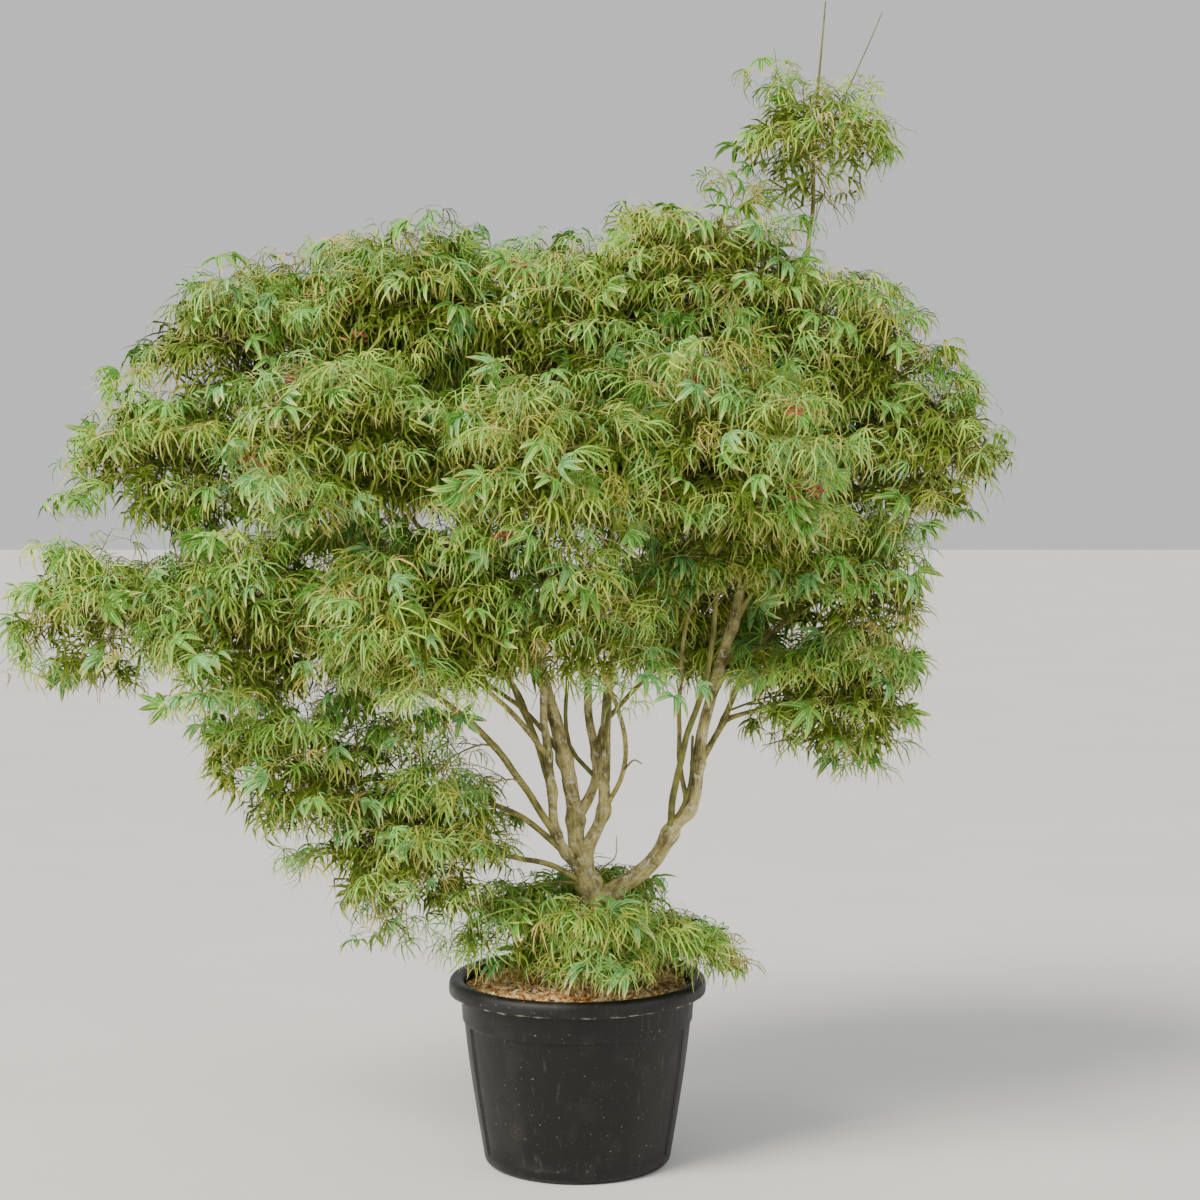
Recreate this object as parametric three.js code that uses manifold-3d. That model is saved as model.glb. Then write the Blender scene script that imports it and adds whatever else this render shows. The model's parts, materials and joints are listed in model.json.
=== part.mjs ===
// Potted Japanese maple: a many-stemmed tree in a black nursery pot, in millimetres, +Z up.
// The origin is the middle of the pot's underside. -Y is the front and +X the right.
import * as THREE from 'three';
import { mergeVertices } from 'three/addons/utils/BufferGeometryUtils.js';
import Module from 'manifold-3d';

const wasm = await Module();
wasm.setup();

// Clearance between neighbouring pieces
const GAP = 0.3;

// Pot
const POT_HEIGHT = 440;
const POT_BASE_RADIUS = 208;
const POT_HEEL_RADIUS = 220;
const POT_HEEL_HEIGHT = 14;
const POT_BODY_TOP_RADIUS = 266;
const POT_BAND_HEIGHT = 70;
const POT_BAND_RADIUS = 275;
const POT_BAND_STEP = 4;
const POT_LIP_RADIUS = 303;
const POT_LIP_DEPTH = 32;
const POT_LIP_ROUND = 12;
const POT_LIP_BEVEL = 2;
const POT_WALL = 5;
const POT_FLOOR = 8;
const POT_SIDES = 32;
const POT_BOW = 1;
const LIP_FOOT = POT_HEIGHT - POT_LIP_DEPTH;
const BAND_FOOT = LIP_FOOT - POT_BAND_HEIGHT;
const POT_MOUTH_RADIUS = POT_BAND_RADIUS - POT_BAND_STEP - POT_WALL;
const PANEL_INSET = 4;
const PANEL_HALF_ANGLE = 68;
const PANEL_BOTTOM = 30;
const INNER_FOOT_RADIUS = POT_HEEL_RADIUS - PANEL_INSET - POT_WALL;
const INNER_BAND_RADIUS = POT_BODY_TOP_RADIUS - PANEL_INSET - POT_WALL;

// Mulch that fills the pot
const SOIL_EDGE_HEIGHT = 412;
const SOIL_MIDDLE_HEIGHT = 418;
const SOIL_MIDDLE_RADIUS = 90;

// Trunk and limbs
const LIMB_TAPER = 0.85;
const TRUNK_FOOT = SOIL_MIDDLE_HEIGHT + GAP;
const ROOT_FLARE = 9;
const ROOT_FLARE_HEIGHT = 28;

// Leaves: one palm of long lobes stands for a spray of real leaves
const LEAVES_PER_MASS = 9;
const LEAVES_PER_LOW_MASS = 7;
const LOW_LEAF_SCALE = 0.62;
const LEAF_LENGTH = 245;
const SHORTEST_LEAF = 0.85;
const LONGEST_LEAF = 1.15;
const LEAF_THICKNESS = 6;
const LEAF_DROOP = 0.42;
const NARROW_LEAF = { lobes: 5, spread: 76, waist: 0.23, side: 0.75 };
const BROAD_LEAF = { lobes: 3, spread: 52, waist: 0.33, side: 0.85 };
const BROAD_SHARE = 0.5;
const PALM_REACH = 0.12;
const LEAF_SWING = 0.9;
const LEAF_ROLL = 0.7;
const LEAST_FALL = 0.4;
const MOST_FALL = 1.1;
// Shares of the room for a leaf's tip, each with the leaf's size, tried in turn
const REACHES = [
  [0.97, 1],
  [0.97, 0.8],
  [0.84, 0.9],
  [0.84, 0.72],
  [0.68, 0.85],
  [0.68, 0.68],
  [0.5, 0.65],
];

// Twigs
const TWIG_RADIUS = 3;
// The most of a twig, in cubic millimetres, that may lie in what carries it: its buried root
const ROOT_VOLUME = 60;
const SIDE_TWIG_RADIUS = 1.3;
const TWIG_TIP_RADIUS = 2.6;
const SHOOT_TIP_RADIUS = 1.5;
const LIMB_CLEARANCE = 2.5;
const MASS_CLEARANCE = 1.5;
const SIDE_STEM_RADIUS = 5;
const STEM_TIP_RADIUS = 4.5;
const STEM_LEAD = 14;
const STEM_REACH = 0.55;
const STEM_SIDES = 4;
const STEM_STEPS = 5;
const LOWEST_TWIG = 0.2;
const HIGHEST_TWIG = 0.98;
const HIGHEST_TWIG_BY_SHOOT = 0.62;
const SIDE_TWIG_SHARE = 0.5;
const SIDE_TWIG_TURN = 1.0;
const SIDE_TWIG_LENGTH = 55;
const SIDE_LEAF_SIZE = 0.85;
const TOP_HEIGHT = 0.85;
const FOOT_HEIGHT = -0.7;
const TWIGS_A_ROUND = 7;
// The nearly level twig of each round, and the upright line that it points away from
const LEVEL_TWIG = 3;
const MIDDLE_OF_PLANT = -60;
const MOST_TWIGS = 40;
const GOLDEN_ANGLE = THREE.MathUtils.degToRad(137.508);
const UP = new THREE.Vector3(0, 0, 1);
// Edges shorter than this are closed up
const SLIVER = 0.02;

const COLOURS = {
  pot: '#2a2927',
  soil: '#a98457',
  bark: '#8d7d5d',
  greenBark: '#7d7a45',
  leaf: '#6f9436',
  lowLeaf: '#7fa047',
};

function material(colour, roughness) {
  return new THREE.MeshStandardMaterial({ color: colour, roughness, metalness: 0, side: THREE.DoubleSide });
}

const POT_PLASTIC = material(COLOURS.pot, 0.5);
const MULCH = material(COLOURS.soil, 0.95);
const OLD_BARK = material(COLOURS.bark, 0.85);
const YOUNG_BARK = material(COLOURS.greenBark, 0.75);
const FOLIAGE = material(COLOURS.leaf, 0.6);
const LOW_FOLIAGE = material(COLOURS.lowLeaf, 0.6);

// Every limb in the order it is made. A limb with a share leaves the side of its parent there, as a share of
// the parent's length. One without a share goes on from its parent's tip. Way points run to the limb's tip.
const LIMBS = [
  { name: 'trunk', base: 33, tip: 20, sides: 12, steps: 10,
    way: [[39, 0, TRUNK_FOOT], [39, 0, 470], [41, 0, 530], [44, 0, 600], [22, 0, 672], [3, 0, 735]] },
  { name: 'centre_stem', parent: 'trunk', base: 20, tip: 6, sides: 7, steps: 8,
    way: [[-10, 6, 860], [-66, 12, 1085], [-140, 14, 1300], [-370, 0, 1880]] },
  { name: 'left_stem', parent: 'trunk', share: 0.78, base: 12, tip: 5, sides: 6, steps: 8,
    way: [[-46, -18, 769], [-61, -26, 904], [-78, -40, 1090], [-74, -60, 1400], [-60, -66, 1830]] },
  { name: 'crook_stem', parent: 'trunk', share: 0.93, base: 16, tip: 5, sides: 6, steps: 9,
    way: [[61, -12, 832], [62, -12, 900], [70, 36, 1050], [86, 150, 1304], [72, 400, 1640]] },
  { name: 'inner_stem', parent: 'centre_stem', share: 0.06, base: 12, tip: 5, sides: 6, steps: 8,
    way: [[46, 30, 905], [28, 45, 1055], [24, 76, 1276], [100, 86, 1462], [250, 40, 1900]] },
  { name: 'right_stem', parent: 'trunk', share: 0.6, base: 22, tip: 17, sides: 8, steps: 5,
    way: [[96, -4, 648], [168, -12, 702], [226, -20, 792]] },
  { name: 'leader_stem', parent: 'right_stem', base: 16, tip: 5, sides: 7, steps: 10,
    way: [[268, -24, 850], [293, -28, 1019], [379, -28, 1346], [512, -6, 1995], [543, 0, 2215]] },
  { name: 'green_shoot', parent: 'right_stem', share: 0.93, base: 9, tip: 5, sides: 5, steps: 6, young: true,
    way: [[226, -48, 881], [250, -76, 1000], [293, -165, 1157], [322, -300, 1480]] },
  { name: 'straight_shoot', parent: 'leader_stem', share: 0.035, base: 6, tip: 4.5, sides: 5, steps: 5,
    way: [[244, 8, 905], [240, 24, 1118], [262, -30, 1304], [316, -104, 1385]] },
  { name: 'right_branch', parent: 'leader_stem', share: 0.115, base: 8, tip: 5, sides: 5, steps: 5,
    way: [[342, 16, 1037], [418, 28, 1206], [520, 30, 1290]] },
  { name: 'left_long_bough', parent: 'left_stem', share: 0.11, base: 9, tip: 5, sides: 6, steps: 7,
    way: [[-226, -50, 1025], [-400, -60, 1153], [-570, -60, 1261], [-905, -40, 1378]] },
  { name: 'upper_left_bough', parent: 'left_stem', share: 0.2, base: 8, tip: 5, sides: 5, steps: 7,
    way: [[-103, -8, 1014], [-166, -20, 1153], [-379, -40, 1404], [-750, -40, 1655]] },
  { name: 'low_left_bough', parent: 'trunk', share: 0.72, base: 8, tip: 6, sides: 5, steps: 3,
    way: [[-60, -26, 706], [-150, -45, 728]] },
  { name: 'lower_left_bough', parent: 'left_stem', share: 0.07, base: 8, tip: 5, sides: 5, steps: 4,
    way: [[-140, -34, 826], [-300, -50, 880], [-430, -55, 902]] },
  { name: 'left_low_bough', parent: 'left_long_bough', share: 0.42, base: 6, tip: 5, sides: 5, steps: 3,
    way: [[-500, -112, 1190], [-570, -134, 1208]] },
  { name: 'low_front_left_bough', parent: 'left_stem', share: 0.27, base: 7, tip: 5, sides: 5, steps: 4,
    way: [[-140, -126, 1066], [-236, -290, 1180]] },
  { name: 'left_front_bough', parent: 'left_stem', share: 0.41, base: 8, tip: 5, sides: 5, steps: 4,
    way: [[-170, -150, 1270], [-370, -306, 1540]] },
  { name: 'centre_front_bough', parent: 'left_stem', share: 0.52, base: 8, tip: 5, sides: 5, steps: 4,
    way: [[-80, -190, 1400], [-68, -350, 1510]] },
  { name: 'low_front_centre_bough', parent: 'crook_stem', share: 0.12, base: 6, tip: 5, sides: 5, steps: 5,
    way: [[104, -46, 920], [112, -90, 1010], [60, -208, 1180]] },
  { name: 'top_left_bough', parent: 'centre_stem', share: 0.72, base: 7, tip: 5, sides: 5, steps: 4,
    way: [[-430, 20, 1760], [-610, 34, 1900]] },
  { name: 'right_shoulder_bough', parent: 'leader_stem', share: 0.46, base: 7, tip: 5, sides: 5, steps: 4,
    way: [[470, 6, 1590], [548, 14, 1800]] },
  { name: 'right_tip_bough', parent: 'leader_stem', share: 0.34, base: 7, tip: 5, sides: 5, steps: 4,
    way: [[470, -10, 1440], [590, -2, 1575]] },
  { name: 'right_lower_bough', parent: 'right_branch', share: 0.28, base: 6, tip: 5, sides: 5, steps: 3,
    way: [[420, 40, 1062], [470, 50, 1076]] },
  { name: 'back_left_bough', parent: 'centre_stem', share: 0.42, base: 8, tip: 5, sides: 5, steps: 4,
    way: [[-210, 160, 1390], [-330, 330, 1580]] },
  { name: 'back_right_bough', parent: 'leader_stem', share: 0.25, base: 8, tip: 5, sides: 5, steps: 4,
    way: [[380, 130, 1330], [455, 320, 1500]] },
  { name: 'back_low_left_bough', parent: 'centre_stem', share: 0.18, base: 7, tip: 5, sides: 5, steps: 4,
    way: [[-120, 130, 1040], [-264, 270, 1130]] },
  { name: 'back_low_right_bough', parent: 'inner_stem', share: 0.14, base: 7, tip: 5, sides: 5, steps: 4,
    way: [[64, 140, 1020], [196, 290, 1140]] },
];

// Every mass of foliage: the limb that carries it, the middle of its space, and its half sizes. One with a
// share grows from the side of its limb, and the others from its tip. A shoot is a bare end past the leaves.
// Its seed sets how its twigs fall.
const MASSES = [
  { name: 'top_left_tip', limb: 'top_left_bough', middle: [-780, 30, 1925], half: [285, 270, 185], seed: 4 },
  { name: 'top_left', limb: 'centre_stem', middle: [-400, 0, 1985], half: [290, 335, 215], seed: 1 },
  { name: 'top_centre', limb: 'left_stem', middle: [-40, -55, 1945], half: [295, 335, 215], seed: 4 },
  { name: 'top_right', limb: 'inner_stem', middle: [275, 25, 2040], half: [310, 345, 225], seed: 4 },
  { name: 'leader_tuft', limb: 'leader_stem',
    middle: [545, 0, 2365], half: [200, 200, 195], seed: 2, shoot: [570, 0, 2699] },
  { name: 'right_shoulder', limb: 'right_shoulder_bough',
    middle: [610, 20, 1880], half: [275, 295, 190], seed: 5 },
  { name: 'left_shoulder', limb: 'upper_left_bough',
    middle: [-930, -35, 1645], half: [300, 270, 225], seed: 1 },
  { name: 'left_front', limb: 'left_front_bough',
    middle: [-500, -385, 1685], half: [290, 280, 220], seed: 4 },
  { name: 'centre_front', limb: 'centre_front_bough',
    middle: [-65, -465, 1625], half: [310, 295, 230], seed: 5 },
  { name: 'right_front', limb: 'green_shoot', middle: [310, -385, 1685], half: [300, 295, 235], seed: 5 },
  { name: 'right_tip', limb: 'right_tip_bough', middle: [770, 0, 1665], half: [310, 295, 195], seed: 6 },
  { name: 'back_left', limb: 'back_left_bough', middle: [-425, 430, 1705], half: [320, 295, 230], seed: 6 },
  { name: 'back_centre', limb: 'crook_stem', middle: [55, 485, 1775], half: [320, 295, 230], seed: 6 },
  { name: 'back_right', limb: 'back_right_bough', middle: [485, 415, 1630], half: [305, 295, 225], seed: 1 },
  { name: 'far_left', limb: 'left_long_bough', middle: [-1085, -35, 1275], half: [295, 245, 190], seed: 1 },
  { name: 'left_low', limb: 'left_low_bough', middle: [-700, -145, 1280], half: [300, 280, 230], seed: 8 },
  { name: 'low_front_left', limb: 'low_front_left_bough',
    middle: [-320, -380, 1295], half: [275, 270, 195], seed: 4 },
  { name: 'low_front_centre', limb: 'low_front_centre_bough',
    middle: [-5, -300, 1310], half: [270, 255, 195], seed: 7 },
  { name: 'low_front_right', limb: 'straight_shoot',
    middle: [355, -180, 1495], half: [275, 270, 200], seed: 4 },
  { name: 'right_low', limb: 'right_branch', middle: [615, 20, 1365], half: [240, 270, 220], seed: 2 },
  { name: 'back_low_left', limb: 'back_low_left_bough',
    middle: [-400, 370, 1245], half: [300, 280, 205], seed: 2 },
  { name: 'back_low_right', limb: 'back_low_right_bough',
    middle: [305, 380, 1250], half: [295, 280, 205], seed: 8 },
  { name: 'lower_left', limb: 'lower_left_bough', middle: [-645, -55, 935], half: [300, 245, 215], seed: 7 },
  { name: 'low_left_tip', limb: 'low_left_bough', middle: [-375, -60, 735], half: [300, 235, 210], seed: 3 },
  { name: 'right_lower', limb: 'right_lower_bough', middle: [600, 55, 1085], half: [285, 245, 165], seed: 3 },
  { name: 'skirt_left', limb: 'trunk', share: 0.17,
    middle: [-140, -50, 560], half: [150, 130, 105], seed: 3, low: true },
  { name: 'skirt_right', limb: 'trunk', share: 0.22,
    middle: [255, -40, 560], half: [165, 130, 95], seed: 3, low: true },
  { name: 'skirt_front', limb: 'trunk', share: 0.1,
    middle: [50, -180, 560], half: [140, 120, 95], seed: 2, low: true },
  { name: 'skirt_back', limb: 'trunk', share: 0.13,
    middle: [45, 170, 560], half: [150, 120, 95], seed: 5, low: true },
];

function vector(list) {
  return new THREE.Vector3(...list);
}

// Mulberry32, a small repeatable random source
function randomSource(seed) {
  let state = seed;
  return () => {
    state = (state + 0x6d2b79f5) | 0;
    let t = Math.imul(state ^ (state >>> 15), 1 | state);
    t = (t + Math.imul(t ^ (t >>> 7), 61 | t)) ^ t;
    return ((t ^ (t >>> 14)) >>> 0) / 4294967296;
  };
}

function toSolid(geometry) {
  const bare = geometry.clone();
  bare.deleteAttribute('normal');
  bare.deleteAttribute('uv');
  const merged = mergeVertices(bare, 1e-4);
  return new wasm.Manifold(
    new wasm.Mesh({
      numProp: 3,
      vertProperties: new Float32Array(merged.attributes.position.array),
      triVerts: new Uint32Array(merged.index.array),
    }),
  );
}

function toGeometry(solid) {
  const mesh = solid.getMesh();
  const geometry = new THREE.BufferGeometry();
  geometry.setAttribute('position', new THREE.BufferAttribute(mesh.vertProperties, 3));
  geometry.setIndex(new THREE.BufferAttribute(mesh.triVerts, 1));
  geometry.computeVertexNormals();
  return geometry;
}

// The piece with the most material, so that a loose scrap or a sealed hollow is left out
function largestPiece(solid) {
  return solid.decompose().reduce((best, piece) => (piece.volume() > best.volume() ? piece : best));
}

// A round bar bent along a curve, its radius given along the way from 0 to 1
function taperedBar(curve, radiusAt, sides, steps) {
  const geometry = new THREE.CylinderGeometry(1, 1, 1, sides, steps);
  const frames = curve.computeFrenetFrames(steps, false);
  const position = geometry.attributes.position;
  const place = new THREE.Vector3();
  for (let i = 0; i < position.count; i++) {
    const step = Math.round((position.getY(i) + 0.5) * steps);
    const radius = radiusAt(step / steps);
    curve.getPointAt(step / steps, place);
    place.addScaledVector(frames.normals[step], position.getX(i) * radius);
    place.addScaledVector(frames.binormals[step], -position.getZ(i) * radius);
    position.setXYZ(i, place.x, place.y, place.z);
  }
  return geometry;
}

function pathThrough(points) {
  return new THREE.CatmullRomCurve3(points, false, 'centripetal');
}

// A limb's path begins on its parent's axis, or just past its parent's tip and in line with it
function limbPath(limb, made) {
  const way = limb.way.map(vector);
  if (!limb.parent) return pathThrough(way);
  const parent = made.get(limb.parent).path;
  if (limb.share !== undefined) return pathThrough([parent.getPointAt(limb.share), ...way]);
  const end = parent.getPointAt(1).addScaledVector(parent.getTangentAt(1), GAP);
  const inLine = end.clone().addScaledVector(parent.getTangentAt(1), limb.base);
  return pathThrough([end, inLine, ...way]);
}

function limbRadius(limb, length, extra) {
  return (t) => {
    const taper = limb.base + (limb.tip - limb.base) * Math.pow(t, LIMB_TAPER);
    const flare = limb.parent ? 0 : ROOT_FLARE * Math.exp((-t * length) / ROOT_FLARE_HEIGHT);
    return taper + flare + extra;
  };
}

// Each limb is cut clear of the limbs made before it
function buildLimbs() {
  const made = new Map();
  for (const limb of LIMBS) {
    const path = limbPath(limb, made);
    const length = path.getLength();
    const bar = (extra) => toSolid(taperedBar(path, limbRadius(limb, length, extra), limb.sides, limb.steps));
    let solid = bar(0);
    for (const other of made.values()) solid = solid.subtract(other.cutter);
    made.set(limb.name, { ...limb, path, solid: largestPiece(solid), cutter: bar(GAP) });
  }
  return made;
}

function potProfile() {
  const outline = [
    [0, 0],
    [POT_BASE_RADIUS, 0],
    [POT_HEEL_RADIUS, POT_HEEL_HEIGHT],
    [(POT_HEEL_RADIUS * 2 + POT_BODY_TOP_RADIUS) / 3 + POT_BOW, (POT_HEEL_HEIGHT * 2 + BAND_FOOT) / 3],
    [POT_BODY_TOP_RADIUS, BAND_FOOT],
    [POT_BODY_TOP_RADIUS + POT_BAND_STEP, BAND_FOOT + POT_BAND_STEP],
    [POT_BAND_RADIUS, LIP_FOOT],
    [POT_LIP_RADIUS - POT_LIP_BEVEL, LIP_FOOT - POT_LIP_BEVEL],
    [POT_LIP_RADIUS, POT_HEIGHT - POT_LIP_ROUND],
    [POT_LIP_RADIUS - POT_LIP_ROUND, POT_HEIGHT],
    [POT_MOUTH_RADIUS + POT_LIP_ROUND, POT_HEIGHT],
    [POT_MOUTH_RADIUS, POT_HEIGHT - POT_LIP_ROUND],
    [INNER_BAND_RADIUS, BAND_FOOT],
    [INNER_FOOT_RADIUS, POT_FLOOR],
    [0, POT_FLOOR],
  ];
  return outline.map(([x, y]) => new THREE.Vector2(x, y));
}

// A front and a back panel are set in from the body, between two plain pads at the sides
function buildPot() {
  const geometry = new THREE.LatheGeometry(potProfile(), POT_SIDES).rotateX(Math.PI / 2);
  const position = geometry.attributes.position;
  const { mapLinear, radToDeg } = THREE.MathUtils;
  for (let i = 0; i < position.count; i++) {
    const [x, y, z] = [position.getX(i), position.getY(i), position.getZ(i)];
    const radius = Math.hypot(x, y);
    const fromFront = radToDeg(Math.atan2(Math.abs(x), Math.abs(y)));
    const bodyRadius = mapLinear(z, POT_HEEL_HEIGHT, BAND_FOOT, POT_HEEL_RADIUS, POT_BODY_TOP_RADIUS);
    const onPanel = z > PANEL_BOTTOM && z <= BAND_FOOT && fromFront < PANEL_HALF_ANGLE;
    if (onPanel && radius > bodyRadius - PANEL_INSET) {
      position.setX(i, (x * (radius - PANEL_INSET)) / radius);
      position.setY(i, (y * (radius - PANEL_INSET)) / radius);
    }
  }
  return toSolid(geometry);
}

// The mulch fills the pot up to a low mound round the trunk's foot
function buildSoil() {
  const upWall = (SOIL_EDGE_HEIGHT - BAND_FOOT) / (POT_HEIGHT - POT_LIP_ROUND - BAND_FOOT);
  const edge = THREE.MathUtils.lerp(INNER_BAND_RADIUS, POT_MOUTH_RADIUS, upWall);
  const outline = [
    [0, POT_FLOOR + GAP],
    [INNER_FOOT_RADIUS - GAP * 2, POT_FLOOR + GAP],
    [INNER_BAND_RADIUS - GAP, BAND_FOOT],
    [edge - GAP, SOIL_EDGE_HEIGHT],
    [SOIL_MIDDLE_RADIUS, SOIL_MIDDLE_HEIGHT],
    [0, SOIL_MIDDLE_HEIGHT],
  ];
  const points = outline.map(([x, y]) => new THREE.Vector2(x, y));
  return toSolid(new THREE.LatheGeometry(points, POT_SIDES).rotateX(Math.PI / 2));
}

// A leaf's outline from its right lobe round to its left one, tips and notches in turn, all drooping
function leafOutline(kind, length) {
  const corners = kind.lobes * 2 - 1;
  return Array.from({ length: corners }, (_, i) => {
    const along = 1 - (2 * i) / (corners - 1);
    const angle = THREE.MathUtils.degToRad(along * kind.spread);
    const tipReach = THREE.MathUtils.lerp(1, kind.side, Math.abs(along));
    const reach = (i % 2 === 0 ? tipReach : kind.waist) * length;
    const forward = Math.cos(angle) * reach * (1 - PALM_REACH);
    return new THREE.Vector3(Math.sin(angle) * reach, (-LEAF_DROOP * reach * reach) / length, forward);
  });
}

// A three-sided twig that widens at its tip into a palm of lobes, as one closed skin. The leaf's own axes are
// its side, its upper face and its heading.
function leafyTwig(from, footRadius, place, kind, length) {
  const side = new THREE.Vector3();
  const upper = new THREE.Vector3();
  const heading = new THREE.Vector3();
  place.extractBasis(side, upper, heading);
  const tip = new THREE.Vector3().setFromMatrixPosition(place);
  const way = tip.clone().sub(from).normalize();
  const footSide = side.clone().addScaledVector(way, -side.dot(way)).normalize();
  const footUpper = way.clone().cross(footSide);
  const foot = [footSide, footUpper, footSide.clone().negate()];
  const neck = [side, upper, side.clone().negate()];
  const palm = new THREE.Vector3(0, 0, PALM_REACH * length);
  const outline = leafOutline(kind, length).map((point) => point.add(palm).applyMatrix4(place));
  const points = [
    ...foot.map((out) => from.clone().addScaledVector(out, footRadius)),
    ...neck.map((out) => tip.clone().addScaledVector(out, TWIG_TIP_RADIUS)),
    palm.clone().setY(LEAF_THICKNESS / 2).applyMatrix4(place),
    palm.clone().setY(-LEAF_THICKNESS / 2).applyMatrix4(place),
    ...outline,
  ];
  const [top, under, first, last] = [6, 7, 8, points.length - 1];
  const faces = [0, 2, 1];
  for (const [i, j] of [[0, 1], [1, 2], [2, 0]]) faces.push(i, j, j + 3, i, j + 3, i + 3);
  for (let i = first; i < last; i++) faces.push(top, i + 1, i, under, i, i + 1);
  faces.push(top, first, 3, top, 3, 4, top, 4, 5, top, 5, last);
  faces.push(under, 3, first, under, 5, 3, under, last, 5);
  const geometry = new THREE.BufferGeometry().setFromPoints(points);
  geometry.setIndex(faces);
  return toSolid(geometry);
}

// The weighted distance that decides which mass a point in the crown belongs to
function claim(mass, point) {
  const size = (mass.half[0] + mass.half[1] + mass.half[2]) / 3;
  return point.distanceToSquared(vector(mass.middle)) - size * size;
}

// How far inside its own space a point lies, from the plane that parts two masses, times a constant
function insideOf(mass, other, point) {
  const apart = vector(other.middle).distanceTo(vector(mass.middle));
  return claim(other, point) - claim(mass, point) - 2 * apart * MASS_CLEARANCE;
}

// How far a ray from the middle of a mass runs before it leaves its rounded space or meets a neighbour's
function roomAlong(mass, direction) {
  const middle = vector(mass.middle);
  const rounded = 1 / direction.clone().divide(vector(mass.half)).length();
  return MASSES.reduce((room, other) => {
    const closing = 2 * direction.dot(vector(other.middle).sub(middle));
    return closing > 0 ? Math.min(room, insideOf(mass, other, middle) / closing) : room;
  }, rounded);
}

function cornersOf(solid) {
  const values = solid.getMesh().vertProperties;
  const points = [];
  for (let i = 0; i < values.length; i += 3) points.push(vector(values.slice(i, i + 3)));
  return points;
}

// The way a leaf hangs: outward and down, less steep at the top of a mass
function leafHeading(outward, random) {
  const flat = new THREE.Vector3(outward.x, outward.y, 0).normalize();
  flat.applyAxisAngle(UP, (random() - 0.5) * LEAF_SWING);
  const fall = THREE.MathUtils.lerp(LEAST_FALL, MOST_FALL, random()) * (1 - Math.max(outward.z, 0));
  return flat.multiplyScalar(Math.cos(fall)).addScaledVector(UP, -Math.sin(fall));
}

function leafPlace(root, heading, random) {
  const side = UP.clone().cross(heading).normalize();
  side.applyAxisAngle(heading, (random() - 0.5) * LEAF_ROLL);
  const upper = heading.clone().cross(side).normalize();
  return new THREE.Matrix4().makeBasis(side, upper, heading).setPosition(root);
}

function massStem(mass, limb) {
  const middle = vector(mass.middle);
  const fromSide = mass.share !== undefined;
  const start = limb.path.getPointAt(fromSide ? mass.share : 1);
  const heading = limb.path.getTangentAt(1);
  const points = [start];
  if (!fromSide) {
    start.addScaledVector(heading, GAP);
    points.push(start.clone().addScaledVector(heading, STEM_LEAD));
  }
  points.push(middle);
  const onward = middle.clone().sub(start).setZ(0).normalize();
  if (mass.shoot) points.push(vector(mass.shoot));
  else points.push(middle.clone().addScaledVector(onward, roomAlong(mass, onward) * STEM_REACH));
  return pathThrough(points);
}

// A point on the axis of the stem as it is made, in straight steps
function stemPoint(stem, share) {
  const step = Math.min(Math.floor(share * STEM_STEPS), STEM_STEPS - 1);
  const foot = stem.getPointAt(step / STEM_STEPS);
  return foot.lerp(stem.getPointAt((step + 1) / STEM_STEPS), share * STEM_STEPS - step);
}

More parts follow.
